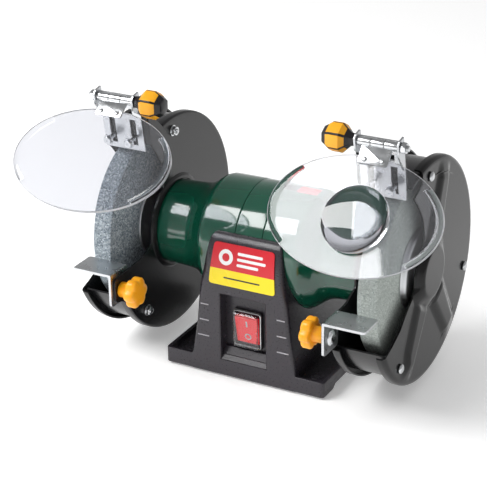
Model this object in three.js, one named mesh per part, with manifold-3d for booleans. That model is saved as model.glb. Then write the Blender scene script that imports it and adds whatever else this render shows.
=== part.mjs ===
// Bench grinder with two 150 mm wheels, guards, tool rests and eye shields.
// Millimetres. +X runs along the spindle, the front faces -Y, +Z is up, the bench is Z = 0.
// Side pieces are drawn once for the +X end and mirrored for the -X end.
import * as THREE from 'three';
import { mergeVertices } from 'three/addons/utils/BufferGeometryUtils.js';
import Module from 'manifold-3d';

const wasm = await Module();
wasm.setup();

// ---------- Driving dimensions ----------
const GAP = 0.3;                 // clearance between pieces that meet
const WHEEL_D = 150;             // grinding wheel diameter
const WHEEL_W = 16;              // grinding wheel thickness
const WHEEL_TO_BAND = 9.5;       // room between the wheel and the guard's band
const SPINDLE_D = 12.7;          // spindle where the wheels sit
const SHEET = 1.5;               // pressed steel of the guards
const RIM_PROUD = 5;             // guard rims stand this far outside the band
const RIM_TURN = 7;              // width of the guards' turned rims
const UNDER_GUARD = 11.4;        // bench to the underside of the guards
const NECK_SPAN = 179;           // over both necks of the end bells
const MOTOR_D = 96;              // motor body diameter
const MOTOR_WALL = 3.8;          // wall of the motor's shells
const BODY_HALF = 43;            // half length of the motor's full diameter
const BAND_HALF = 12;            // half length of the motor's middle shell
const NECK_R = 34.5;             // neck of an end bell
const BEARING = { bore: 15, outer: 35, width: 11 };
const CORE_HALF = 20;            // half length of the stator and rotor stacks
const AIR_GAP = 0.5;             // stator to rotor
const STATOR_DEEP = 17.4;        // outside of the stator stack to the rotor
const BASE_W = 142.4;            // foot, side to side
const BASE_D = 110;              // foot and pedestal, front to back
const BASE_H = 13.2;             // height of the foot's walls
const FOOT_DROP = 1.5;           // the rubber feet stand this far below the foot
const WALL = 3;                  // wall of the pedestal moulding
const RECESS = { w: 40.6, h: 58.2, depth: 11, bottom: 15 };
const SWITCH = { w: 26, h: 33, bezel: 2.5, rocker: [20, 26], tilt: 11 };
const HOLE_R = 3;                // bench mounting holes
const BOLT_D = 4;                // guard bolts
const REST = { w: 34.8, deep: 24.5, t: 2, leg: 26, gap: 2, above: -8.85 };
const REST_BOLT_D = 6;
const REST_TRAVEL = 6;           // how far a tool rest slides out
const KNOB = { r: 12.5, thick: 9, stem_r: 6 };
const ROD_D = 4.8;               // rod that carries an eye shield
const ROD_BEHIND_BAND = 36;      // rod behind the front of the band
const ROD_ABOVE_BAND = 32;       // rod above the top of the band
const PLATE = { w: 36, t: 1.6, lean: 10, bottom: 48, standoff: 4 };
const SHIELD = { a: 68.3, b: 46.2, t: 3, centre: 56.2 };
const SHIELD_TILT = { left: 53, right: 40 };  // degrees that each shield hangs forward
const CLIP_DROP = 17;            // rod to the lower edge of a shield's clip
const LENS_R = 26;
const HANDLE = { r: 11.8, length: 25.5 };

// ---------- Derived places ----------
const WHEEL_R = WHEEL_D / 2;
const BAND_IN = WHEEL_R + WHEEL_TO_BAND;
const BAND_OUT = BAND_IN + SHEET;
const RIM_R = BAND_OUT + RIM_PROUD;
const AXIS_Z = RIM_R + UNDER_GUARD;
const MOTOR_R = MOTOR_D / 2;
const NECK_END = NECK_SPAN / 2;
const DISC_IN = NECK_END + GAP;              // inner guard disc, motor side
const DISC_OUT = DISC_IN + SHEET;
const FLANGE_R = 0.44 * WHEEL_R;             // wheel clamping flanges
const FLANGE_T = 5.7;
const NOSE_T = 4.5;
const SHOULDER = DISC_OUT + 10;              // spindle shoulder that the inner flange meets
const WHEEL_IN = SHOULDER + 2 * GAP + FLANGE_T;
const WHEEL_OUT = WHEEL_IN + WHEEL_W;
const NUT_AF = 19;
const NUT_T = 6.5;
const NUT_IN = WHEEL_OUT + 2 * GAP + NOSE_T;
const SPINDLE_END = NUT_IN + NUT_T + 1.3;
const BOSS_OUT = SPINDLE_END + 1.2 + SHEET;  // outer face of the cover's centre boss
const COVER_OUT = WHEEL_OUT + 10.3;          // outer face of the guard cover
const COVER_IN = COVER_OUT - SHEET;
const BASE_Z = FOOT_DROP;
const BASE_TOP = BASE_Z + BASE_H;
const FLOOR_TOP = BASE_Z + 8;
const FLOOR_BOTTOM = FLOOR_TOP - WALL;
const BOLT_RING = BAND_IN - BOLT_D / 2 - 3;
const BOLT_ANGLES = { top: 92, front: 229, rear: 340.5 };
const OPEN_TOP = 103.5;                      // guard opening, degrees from the rear over the top
const OPEN_LOW = 205.5;
const BEARING_OUT = NECK_END - 6.2;
const BEARING_IN = BEARING_OUT - BEARING.width;
const CORE_R = MOTOR_R - MOTOR_WALL - GAP;
const ROTOR_R = CORE_R - STATOR_DEEP;
const ROD_Y = -BAND_OUT + ROD_BEHIND_BAND;
const ROD_Z = BAND_OUT + ROD_ABOVE_BAND;     // above the spindle axis
const PLATE_X = (DISC_OUT + COVER_IN) / 2;   // centre of the shield bracket
const SLEEVE_R = ROD_D / 2 + 1.2;
const REST_IN = DISC_OUT + GAP;
const REST_BACK = -WHEEL_R - REST.gap;
const REST_BOLT_Y = REST_BACK - 13;
const REST_BOLT_Z = REST.above - 16;

// ---------- Solids ----------
const radians = THREE.MathUtils.degToRad;
const V2 = (x, y) => new THREE.Vector2(x, y);

// Polar point in the YZ plane: 0 degrees is the rear, 90 the top, 180 the front.
const polar = (r, degrees) => V2(r * Math.cos(radians(degrees)), r * Math.sin(radians(degrees)));

function arc(r, from, to, steps) {
  const points = [];
  for (let i = 0; i <= steps; i += 1) points.push(polar(r, from + ((to - from) * i) / steps));
  return points;
}

// Closed triangle mesh -> manifold solid, outward whatever way it was wound.
function solid(geometry) {
  const bare = geometry.index ? geometry.toNonIndexed() : geometry.clone();
  bare.deleteAttribute('normal');
  bare.deleteAttribute('uv');
  const merged = mergeVertices(bare, 1e-4);
  const position = merged.attributes.position.array;
  const index = merged.index.array;
  const corner = (i) => new THREE.Vector3().fromArray(position, 3 * i);
  const kept = [];
  let volume = 0;
  for (let i = 0; i < index.length; i += 3) {
    const [a, b, c] = [index[i], index[i + 1], index[i + 2]];
    if (a === b || b === c || c === a) continue;
    kept.push(a, b, c);
    volume += corner(a).dot(corner(b).cross(corner(c)));
  }
  if (volume < 0) {
    for (let i = 0; i < kept.length; i += 3) [kept[i], kept[i + 1]] = [kept[i + 1], kept[i]];
  }
  return new wasm.Manifold(new wasm.Mesh({
    numProp: 3,
    vertProperties: Float32Array.from(position),
    triVerts: Uint32Array.from(kept),
  }));
}

function geometryOf(manifold) {
  const mesh = manifold.getMesh();
  const geometry = new THREE.BufferGeometry();
  geometry.setAttribute('position', new THREE.BufferAttribute(mesh.vertProperties, 3));
  geometry.setIndex(new THREE.BufferAttribute(mesh.triVerts, 1));
  geometry.computeVertexNormals();
  return geometry;
}

// Ring or turned piece about the X axis from [x, radius] points; closes on itself or on the axis.
function turned(profile, segments = 32) {
  const points = profile.map(([x, r]) => V2(r, x));
  if (points[0].x > 0 || points[points.length - 1].x > 0) points.push(points[0].clone());
  return solid(new THREE.LatheGeometry(points, segments).rotateZ(-Math.PI / 2));
}

const ring = (x0, x1, inner, outer, segments) =>
  turned([[x0, inner], [x1, inner], [x1, outer], [x0, outer]], segments);
const rodX = (x0, x1, r, segments = 20) =>
  turned([[x0, 0], [x0, r], [x1, r], [x1, 0]], segments);

const AXES = {
  x: [new THREE.Vector3(0, 1, 0), new THREE.Vector3(0, 0, 1), new THREE.Vector3(1, 0, 0)],
  y: [new THREE.Vector3(1, 0, 0), new THREE.Vector3(0, 0, 1), new THREE.Vector3(0, -1, 0)],
  z: [new THREE.Vector3(1, 0, 0), new THREE.Vector3(0, 1, 0), new THREE.Vector3(0, 0, 1)],
};

// Outline pushed along an axis. Outlines are (y, z) along x, (x, z) along y and (x, y) along z.
function pushed(axis, outline, from, to, holes = []) {
  const shape = outline instanceof THREE.Shape ? outline : new THREE.Shape(outline);
  holes.forEach((hole) => shape.holes.push(hole instanceof THREE.Path ? hole : new THREE.Path(hole)));
  const geometry = new THREE.ExtrudeGeometry(shape, {
    depth: to - from, bevelEnabled: false, curveSegments: 8,
  });
  geometry.applyMatrix4(new THREE.Matrix4().makeBasis(...AXES[axis]));
  const shift = axis === 'y' ? to : from;
  geometry.translate(axis === 'x' ? shift : 0, axis === 'y' ? shift : 0, axis === 'z' ? shift : 0);
  return solid(geometry);
}

const box = (x0, x1, y0, y1, z0, z1) => solid(new THREE.BoxGeometry(x1 - x0, y1 - y0, z1 - z0)
  .translate((x0 + x1) / 2, (y0 + y1) / 2, (z0 + z1) / 2));

function roundedOutline(x0, x1, y0, y1, r) {
  const shape = new THREE.Shape();
  shape.moveTo(x0 + r, y0);
  shape.lineTo(x1 - r, y0);
  shape.absarc(x1 - r, y0 + r, r, -Math.PI / 2, 0);
  shape.lineTo(x1, y1 - r);
  shape.absarc(x1 - r, y1 - r, r, 0, Math.PI / 2);
  shape.lineTo(x0 + r, y1);
  shape.absarc(x0 + r, y1 - r, r, Math.PI / 2, Math.PI);
  shape.lineTo(x0, y0 + r);
  shape.absarc(x0 + r, y0 + r, r, Math.PI, 1.5 * Math.PI);
  return new THREE.Shape(shape.getPoints(2).slice(0, -1));
}

function hexagon(acrossFlats, turn = 0) {
  return Array.from({ length: 6 }, (_, i) => polar(acrossFlats / Math.sqrt(3), 60 * i + turn));
}

const post = (x, y, z0, z1, r, segments = 16) => solid(new THREE.CylinderGeometry(r, r, z1 - z0, segments)
  .rotateX(Math.PI / 2).translate(x, y, (z0 + z1) / 2));

const mirrored = (manifold) => solid(geometryOf(manifold).scale(-1, 1, 1));

// ---------- Scene ----------
const grinder = new THREE.Group();
const spindleLine = new THREE.Group();       // everything drawn about the spindle axis
spindleLine.position.z = AXIS_Z;
grinder.add(spindleLine);

function addPart(parent, name, manifold, color, roughness, metalness) {
  const material = new THREE.MeshStandardMaterial({ color, roughness, metalness });
  const mesh = new THREE.Mesh(geometryOf(manifold), material);
  mesh.name = name;
  parent.add(mesh);
  return mesh;
}

const PAINT = ['#0e5a45', 0.25, 0.1];
const BLACK_STEEL = ['#2b2b2d', 0.35, 0.3];
const BLACK_PLASTIC = ['#48444a', 0.6, 0];
const ZINC = ['#d0d3d6', 0.3, 0.9];
const STEEL = ['#9a9ca0', 0.4, 0.9];
const ORANGE = ['#ffb01c', 0.45, 0];
const CLEAR = ['#e4ecee', 0.05, 0];
const RUBBER = ['#1c1c1c', 0.9, 0];

function addPair(parent, name, manifold, finish) {
  addPart(parent, `${name}_left`, mirrored(manifold), ...finish);
  addPart(parent, `${name}_right`, manifold, ...finish);
}

// ---------- Base ----------
const TOWER_SIDES = [                        // pedestal half width at heights above the bench
  [BASE_W / 2 - 24.7, BASE_TOP], [BASE_W / 2 - 29.2, 0.44 * AXIS_Z],
  [BASE_W / 2 - 31.7, 0.72 * AXIS_Z], [BASE_W / 2 - 34.8, 0.89 * AXIS_Z],
  [BASE_W / 2 - 40.7, AXIS_Z + 0.42 * MOTOR_R],
];
const TOWER_FOOT = TOWER_SIDES[0][0];
const TOWER_TOP = TOWER_SIDES[4][1];
const CROWN_Y = MOTOR_R - 2;                 // front edge of the pedestal's top
const BEND_Z = AXIS_Z - 0.45 * MOTOR_R;      // the front starts to curve back here

// Half profile of the pedestal's front, curving back from upright to the motor.
function towerFront(offset = 0) {
  const rise = TOWER_TOP - BEND_Z;
  const back = BASE_D / 2 - CROWN_Y;
  const points = [];
  for (let i = 0; i <= 6; i += 1) {
    const t = i / 6;
    points.push(V2(-(BASE_D / 2 - back * t * t) - offset, BEND_Z + rise * t));
  }
  return points;
}

function symmetricOutline(halfPoints) {
  const other = halfPoints.map((p) => V2(-p.x, p.y)).reverse();
  return [...halfPoints, ...other];
}

function towerBlock(inset, top) {
  const sides = TOWER_SIDES.map(([half, z]) => V2(-(half - inset), z));
  const front = pushed('y', symmetricOutline([V2(-(TOWER_FOOT - inset), 0), ...sides]),
    -BASE_D / 2 + inset, BASE_D / 2 - inset);
  const side = symmetricOutline([V2(-BASE_D / 2 + inset, 0), ...towerFront(-inset)]);
  const block = front.intersect(pushed('x', side, -BASE_W, BASE_W));
  return block.intersect(box(-BASE_W, BASE_W, -BASE_D, BASE_D, BASE_Z, top));
}

const footOutline = () => roundedOutline(-BASE_W / 2, BASE_W / 2, -BASE_D / 2, BASE_D / 2, 3);
const mountingHoles = [-1, 1].flatMap((sx) => [-1, 1].map((sy) => [
  sx * (BASE_W / 2 - 14.7), sy * (BASE_D / 2 - 17.8)]));
const RUBBER_R = 8;
const rubberPlaces = {
  front_left: [-1, -1], front_right: [1, -1], rear_left: [-1, 1], rear_right: [1, 1],
};
const rubberAt = ([sx, sy]) => [sx * (BASE_W / 2 - 13), sy * (BASE_D / 2 - 36)];
const RECESS_FLOOR = -BASE_D / 2 + RECESS.depth;
const SADDLE_R = MOTOR_R + GAP;               // hollow that the motor lies in
const CAVITY_TOP = AXIS_Z - 0.42 * MOTOR_R;
const SWITCH_Z = RECESS.bottom + 27.5;
const SWITCH_BODY = { w: SWITCH.w - 4, h: SWITCH.h - 4, depth: 20 };
const GLAND_Z = 30;
const GLAND_R = 6;

function baseHousing() {
  let body = pushed('z', footOutline(), BASE_Z, BASE_TOP);
  const inner = { x: BASE_W / 2 - WALL, y: BASE_D / 2 - WALL };
  [-1, 1].forEach((s) => {
    const near = TOWER_FOOT + 0.5;
    const x0 = Math.min(s * near, s * inner.x);
    const x1 = Math.max(s * near, s * inner.x);
    body = body.subtract(box(x0, x1, -inner.y, inner.y, FLOOR_TOP, BASE_TOP + 1));
  });
  body = body.add(towerBlock(0, TOWER_TOP));
  const saddle = (r) => rodX(-BASE_W, BASE_W, r, 48).translate(0, 0, AXIS_Z);
  body = body.subtract(saddle(SADDLE_R));
  body = body.subtract(box(-inner.x, inner.x, -inner.y, inner.y, 0, FLOOR_BOTTOM));
  const recessWall = RECESS.w / 2 + WALL;
  const cavity = towerBlock(WALL, CAVITY_TOP).subtract(saddle(SADDLE_R + WALL))
    .subtract(box(-recessWall, recessWall, -BASE_D, RECESS_FLOOR + WALL, 0, RECESS.bottom + RECESS.h + WALL));
  body = body.subtract(cavity);
  body = body.subtract(pushed('y', roundedOutline(-RECESS.w / 2, RECESS.w / 2, RECESS.bottom,
    RECESS.bottom + RECESS.h, 1.5), -BASE_D, RECESS_FLOOR));
  const sill = pushed('x', [V2(RECESS_FLOOR + 0.5, RECESS.bottom - 1), V2(RECESS_FLOOR + 0.5,
    RECESS.bottom + 9), V2(RECESS_FLOOR - 3, RECESS.bottom + 9), V2(-BASE_D / 2 + 1, RECESS.bottom + 1.5),
  V2(-BASE_D / 2 + 1, RECESS.bottom - 1)], -RECESS.w / 2 - 0.5, RECESS.w / 2 + 0.5);
  body = body.add(sill);
  const slot = SWITCH_BODY;
  body = body.subtract(box(-slot.w / 2 - GAP, slot.w / 2 + GAP, -BASE_D / 2 + 2, RECESS_FLOOR + WALL + 1,
    SWITCH_Z - slot.h / 2 - GAP, SWITCH_Z + slot.h / 2 + GAP));
  body = body.subtract(post(0, 0, AXIS_Z - SADDLE_R - WALL - 1, AXIS_Z - SADDLE_R + 2, 7));
  body = body.subtract(rodX(0, 12, GLAND_R + GAP, 20).rotate([0, 0, 90])
    .translate(0, BASE_D / 2 - 8, GLAND_Z));
  mountingHoles.forEach(([x, y]) => {
    body = body.subtract(post(x, y, 0, BASE_TOP, HOLE_R));
  });
  const arch = pushed('x', [V2(-BASE_D / 2 + 17, 0), V2(-BASE_D / 2 + 21, BASE_Z + 3.5),
    V2(BASE_D / 2 - 21, BASE_Z + 3.5), V2(BASE_D / 2 - 17, 0)], -BASE_W, BASE_W);
  return body.subtract(arch.subtract(box(-inner.x, inner.x, -BASE_D, BASE_D, -1, BASE_TOP)));
}
addPart(grinder, 'base_housing', baseHousing(), ...BLACK_PLASTIC);

// Steel sheet that closes the foot from below.
function basePlate() {
  const x = BASE_W / 2 - WALL - GAP;
  const y = BASE_D / 2 - WALL - GAP;
  const z1 = FLOOR_BOTTOM - GAP;
  const z0 = z1 - SHEET;
  let plate = pushed('z', roundedOutline(-x, x, -y, y, 2), z0, z1);
  mountingHoles.forEach(([px, py]) => {
    plate = plate.subtract(post(px, py, 0, BASE_TOP, HOLE_R + GAP));
  });
  for (let i = -2; i <= 2; i += 1) {
    plate = plate.subtract(box(-14, 14, 9 * i - 1.5, 9 * i + 1.5, 0, BASE_TOP));
  }
  return plate;
}
addPart(grinder, 'base_plate', basePlate(), ...STEEL);

const PLATE_BOTTOM = FLOOR_BOTTOM - GAP - SHEET;
Object.entries(rubberPlaces).forEach(([place, signs]) => {
  const [x, y] = rubberAt(signs);
  const top = PLATE_BOTTOM - GAP;
  const foot = new THREE.LatheGeometry([V2(0, 0), V2(RUBBER_R - 1, 0), V2(RUBBER_R, 1), V2(RUBBER_R, top),
    V2(0, top)], 20).rotateX(Math.PI / 2).translate(x, y, 0);
  addPart(grinder, `rubber_foot_${place}`, solid(foot), ...RUBBER);
});

// Blank badge that follows the curved upper front of the pedestal.
function namePlate() {
  const skin = [...towerFront(0.9), ...towerFront(GAP).reverse()];
  const bottom = BEND_Z + 1.2;
  const top = AXIS_Z + 0.28 * MOTOR_R;
  const outline = new THREE.Shape();
  const [low, high, r] = [BASE_W / 2 - 41.9, BASE_W / 2 - 44.7, 2];
  outline.moveTo(-low + r, bottom);
  outline.lineTo(low - r, bottom);
  outline.quadraticCurveTo(low, bottom, low, bottom + r);
  outline.lineTo(high, top - r);
  outline.quadraticCurveTo(high, top, high - r, top);
  outline.lineTo(-high + r, top);
  outline.quadraticCurveTo(-high, top, -high, top - r);
  outline.lineTo(-low, bottom + r);
  outline.quadraticCurveTo(-low, bottom, -low + r, bottom);
  const face = pushed('y', new THREE.Shape(outline.getPoints(3).slice(0, -1)), -BASE_D, 0);
  return pushed('x', skin, -BASE_W / 2, BASE_W / 2).intersect(face);
}
addPart(grinder, 'name_plate', namePlate(), '#e63c46', 0.35, 0);

// ---------- Power switch ----------
const BEZEL_BACK = RECESS_FLOOR - GAP;
const BEZEL_FRONT = BEZEL_BACK - SWITCH.bezel;
const ROCKER_Y = BEZEL_BACK + 1.5;           // rocker's pivot
const ROCKER_R = SWITCH.rocker[1] / 2;

function switchHousing() {
  const { w, h, rocker } = SWITCH;
  const outer = pushed('y', roundedOutline(-w / 2, w / 2, SWITCH_Z - h / 2, SWITCH_Z + h / 2, 2),
    BEZEL_FRONT, BEZEL_BACK);
  const body = box(-SWITCH_BODY.w / 2, SWITCH_BODY.w / 2, BEZEL_BACK - 1, RECESS_FLOOR + SWITCH_BODY.depth,
    SWITCH_Z - SWITCH_BODY.h / 2, SWITCH_Z + SWITCH_BODY.h / 2);
  const well = box(-rocker[0] / 2 - GAP, rocker[0] / 2 + GAP, BEZEL_FRONT - 1, RECESS_FLOOR + 12,
    SWITCH_Z - rocker[1] / 2 - 1, SWITCH_Z + rocker[1] / 2 + 1);
  return outer.add(body).subtract(well);
}
addPart(grinder, 'switch_housing', switchHousing(), '#17171a', 0.4, 0);

// Rocker: a keel about its pivot with two shallow wings, drawn level and tipped by its mesh.
function switchRocker() {
  const half = ROCKER_R - 0.8;
  const wing = 4.4;
  const outline = [V2(-wing, half), V2(-wing + 1.6, 0), V2(-wing, -half), V2(0, -half + 1.5),
    V2(5, -5), V2(5, 5), V2(0, half - 1.5)];
  return pushed('x', outline, -SWITCH.rocker[0] / 2, SWITCH.rocker[0] / 2)
    .rotate([SWITCH.tilt, 0, 0]);
}
const rocker = addPart(grinder, 'switch_rocker', switchRocker(), '#d8252f', 0.3, 0);
rocker.position.set(0, ROCKER_Y, SWITCH_Z);

// Clear splash cover clipped over the rocker.
function switchCover() {
  const { w, h } = SWITCH;
  const back = BEZEL_FRONT - GAP;
  const front = back - 4.5;
  const shell = (inset, y0, y1) => pushed('y', roundedOutline(-w / 2 + 1 + inset, w / 2 - 1 - inset,
    SWITCH_Z - h / 2 + 1 + inset, SWITCH_Z + h / 2 - 1 - inset, 2), y0, y1);
  return shell(0, front, back).subtract(shell(1, front + 1, back + 1));
}
addPart(grinder, 'switch_cover', switchCover(), ...CLEAR);

// Gland in the rear wall, with an open bore.
const gland = turned([[-7, 3.2], [-7, GLAND_R], [0.3, GLAND_R], [0.3, GLAND_R + 2.5], [3, GLAND_R + 2.5],
  [8, GLAND_R - 1], [8, 3.2]], 20).rotate([0, 0, 90]);
addPart(grinder, 'cord_gland', gland.translate(0, BASE_D / 2, GLAND_Z), ...RUBBER);

// Run capacitor lying on the base plate inside the pedestal.
const CAP_R = 12;
const capacitor = turned([[-22, 0], [-22, CAP_R], [20, CAP_R], [20, 4], [24, 4], [24, 0]], 24);
addPart(grinder, 'run_capacitor', capacitor.translate(0, 22, FLOOR_BOTTOM + CAP_R + GAP),
  '#c9ccd2', 0.35, 0.6);

// ---------- Motor ----------
const SEAM = GAP / 2;
addPart(spindleLine, 'stator_shell',
  ring(-BAND_HALF + SEAM, BAND_HALF - SEAM, MOTOR_R - MOTOR_WALL, MOTOR_R, 32), ...PAINT);

// End bell: full diameter, a hollow flare down to the neck, and the web that holds the bearing.
function endBell() {
  const inner = MOTOR_R - MOTOR_WALL;
  const flare = NECK_END - BODY_HALF;
  const drop = MOTOR_R - NECK_R;
  const seat = BEARING.outer / 2 + GAP;
  return turned([
    [BAND_HALF + SEAM, inner], [BAND_HALF + SEAM, MOTOR_R], [BODY_HALF - 1.5, MOTOR_R],
    [BODY_HALF, MOTOR_R - 0.8], [BODY_HALF + 0.12 * flare, NECK_R + 0.64 * drop],
    [BODY_HALF + 0.24 * flare, NECK_R + 0.34 * drop], [BODY_HALF + 0.37 * flare, NECK_R + 0.14 * drop],
    [BODY_HALF + 0.5 * flare, NECK_R + 0.04 * drop], [NECK_END - 3, NECK_R], [NECK_END, NECK_R - 2],
    [NECK_END, SPINDLE_D / 2 + 3], [BEARING_OUT + GAP, SPINDLE_D / 2 + 3], [BEARING_OUT + GAP, seat],
    [BEARING_IN - 2, seat], [BEARING_IN - 2, NECK_R - 4], [BODY_HALF + 0.3 * flare, NECK_R - 3],
    [BODY_HALF + 0.05 * flare, inner - 2], [BODY_HALF - 3, inner],
  ], 32);
}
addPair(spindleLine, 'end_bell', endBell(), PAINT);

// Laminated stator with closed slots; the winding is one piece through all of them.
const SLOTS = 12;
const CORE_IN = ROTOR_R + AIR_GAP;
const slotBar = (x, inset, i) => box(-x, x, CORE_IN + 2.2 + inset, CORE_R - 6.5 - inset, -2.6 + inset, 2.6 - inset)
  .rotate([(360 / SLOTS) * (i + 0.5), 0, 0]);
let core = ring(-CORE_HALF, CORE_HALF, CORE_IN, CORE_R, 48);
let winding = ring(CORE_HALF + 1, CORE_HALF + 13, CORE_IN + 2.6, CORE_R - 3, 36);
winding = winding.add(mirrored(winding));
for (let i = 0; i < SLOTS; i += 1) {
  core = core.subtract(slotBar(CORE_HALF + 1, 0, i));
  winding = winding.add(slotBar(CORE_HALF + 2, 0.4, i));
}
addPart(spindleLine, 'stator_core', core, ...STEEL);
addPart(spindleLine, 'stator_winding', winding, '#b5642d', 0.45, 0.6);

const ROTOR_SHAFT_R = BEARING.bore / 2 + 1;
const bearingMid = { inner: BEARING.bore / 2 + 3, outer: BEARING.outer / 2 - 3.3 };
addPair(spindleLine, 'bearing_outer_ring',
  ring(BEARING_IN, BEARING_OUT, bearingMid.outer, BEARING.outer / 2, 28), STEEL);
addPair(spindleLine, 'bearing_ball_cage', ring(BEARING_IN + 2, BEARING_OUT - 2,
  bearingMid.inner + GAP, bearingMid.outer - GAP, 24), STEEL);
addPair(spindleLine, 'bearing_inner_ring',
  ring(BEARING_IN, BEARING_OUT, BEARING.bore / 2 + GAP, bearingMid.inner, 24), STEEL);

function spindle() {
  const journal = BEARING.bore / 2;
  const end = SPINDLE_D / 2;
  const half = [[CORE_HALF + 6, ROTOR_SHAFT_R], [BEARING_IN - 2, ROTOR_SHAFT_R], [BEARING_IN - 2, journal],
    [SHOULDER, journal], [SHOULDER, end], [SPINDLE_END - 1, end], [SPINDLE_END, end - 1], [SPINDLE_END, 0]];
  const other = half.map(([x, r]) => [-x, r]).reverse();
  return turned([...other, ...half], 24);
}
addPart(spindleLine, 'spindle', spindle(), ...STEEL);
addPart(spindleLine, 'rotor_core',
  ring(-CORE_HALF - 1, CORE_HALF + 1, ROTOR_SHAFT_R + GAP, ROTOR_R, 36), '#8c8f94', 0.45, 0.7);

// ---------- Wheels and their clamping ----------
const SEAT_R = SPINDLE_D / 2 + GAP;
addPair(spindleLine, 'inner_flange', turned([
  [SHOULDER + GAP, SEAT_R], [SHOULDER + GAP, SEAT_R + 6], [WHEEL_IN - GAP - 1.8, FLANGE_R],
  [WHEEL_IN - GAP, FLANGE_R], [WHEEL_IN - GAP, FLANGE_R - 8], [WHEEL_IN - GAP - 1, FLANGE_R - 9],
  [WHEEL_IN - GAP - 1, SEAT_R]], 32), ZINC);
const EDGE = 1;
const wheelBody = turned([
  [WHEEL_IN, SEAT_R], [WHEEL_IN, WHEEL_R - EDGE], [WHEEL_IN + EDGE, WHEEL_R], [WHEEL_OUT - EDGE, WHEEL_R],
  [WHEEL_OUT, WHEEL_R - EDGE], [WHEEL_OUT, SEAT_R]], 48);
addPart(spindleLine, 'grinding_wheel_left', mirrored(wheelBody), '#9aa5ac', 0.95, 0);
addPart(spindleLine, 'grinding_wheel_right', wheelBody, '#b4bcb8', 0.95, 0);
addPair(spindleLine, 'outer_flange', turned([
  [WHEEL_OUT + GAP, FLANGE_R - 8], [WHEEL_OUT + GAP, FLANGE_R], [WHEEL_OUT + GAP + 1.5, FLANGE_R],
  [NUT_IN - GAP, SEAT_R + 8], [NUT_IN - GAP, SEAT_R], [WHEEL_OUT + GAP + 1, SEAT_R],
  [WHEEL_OUT + GAP + 1, FLANGE_R - 9]], 32), ZINC);
addPair(spindleLine, 'spindle_nut',
  pushed('x', hexagon(NUT_AF), NUT_IN, NUT_IN + NUT_T, [arc(SEAT_R, 0, 340, 17)]), ZINC);

// ---------- Guards ----------
const boltPoint = (place) => polar(BOLT_RING, BOLT_ANGLES[place]);
const boltHoles = (x0, x1) => Object.keys(BOLT_ANGLES).map((place) => {
  const p = boltPoint(place);
  return rodX(x0, x1, BOLT_D / 2 + GAP, 12).translate(0, p.x, p.y);
});

// Bracket plane: s runs down from the rod, n stands out to the front; returns (y, z).
const LEAN = radians(PLATE.lean);
const onPlate = (s, n) => V2(ROD_Y + s * Math.sin(LEAN) - n * Math.cos(LEAN),
  ROD_Z - s * Math.cos(LEAN) - n * Math.sin(LEAN));
const PLATE_BACK = -PLATE.standoff - PLATE.t;
const TAB_FRONT = PLATE_BACK - GAP;
const TAB_TOP = 16;

// The inner disc: rim, front opening down to the neck, a lug below the rod and the rest's tab.
function innerDisc() {
  const hub = NECK_R + 6;
  const lugTop = onPlate(TAB_TOP - 3, TAB_FRONT - 1);
  const rimTop = polar(RIM_R, 102);
  const tabZ = REST_BOLT_Z;
  const outline = [
    ...arc(RIM_R, OPEN_LOW - 360, 102, 36), V2(lugTop.x + 12, (lugTop.y + rimTop.y) / 2 + 2), lugTop,
    onPlate(TAB_TOP + 24, TAB_FRONT - 1), polar(0.85 * RIM_R, 113), polar(0.6 * RIM_R, 108),
    ...arc(hub, 116, 188, 8), polar(0.64 * RIM_R, 192),
    V2(REST_BOLT_Y + 8, tabZ + 12), V2(REST_BOLT_Y - 6, tabZ + 11), V2(REST_BOLT_Y - 8, tabZ + 8),
    V2(REST_BOLT_Y - 8, tabZ - 7), V2(REST_BOLT_Y - 5, tabZ - 10), V2(REST_BOLT_Y + 6, tabZ - 12),
  ];
  const disc = pushed('x', outline, DISC_IN, DISC_OUT, [arc(SPINDLE_D / 2 + 5, 0, 340, 17)]);
  const bolt = rodX(DISC_IN - 1, DISC_OUT + 1, REST_BOLT_D / 2 + GAP, 14);
  return disc.subtract(bolt.translate(0, REST_BOLT_Y, REST_BOLT_Z));
}

const sector = (inner, outer, from, to, steps) =>
  [...arc(outer, from, to, steps), ...arc(inner, to, from, steps)];

function innerGuard() {
  const turn = pushed('x', sector(RIM_R - SHEET, RIM_R, OPEN_LOW - 360, 102, 36), DISC_IN, DISC_IN + RIM_TURN);
  const bandEnd = COVER_IN - GAP;
  const band = pushed('x', sector(BAND_IN, BAND_OUT, OPEN_LOW + 1 - 360, 112, 36), DISC_IN, bandEnd);
  const tab = pushed('x', [onPlate(TAB_TOP, TAB_FRONT), onPlate(TAB_TOP, TAB_FRONT - SHEET),
    onPlate(41, TAB_FRONT - SHEET - 0.6), onPlate(42, TAB_FRONT)],
  DISC_IN, bandEnd - 2);
  let guard = innerDisc().add(turn).add(band).add(tab);
  boltHoles(DISC_IN - 1, DISC_OUT + 1).forEach((hole) => {
    guard = guard.subtract(hole);
  });
  return guard;
}
addPair(spindleLine, 'inner_guard', innerGuard(), BLACK_STEEL);

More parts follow.
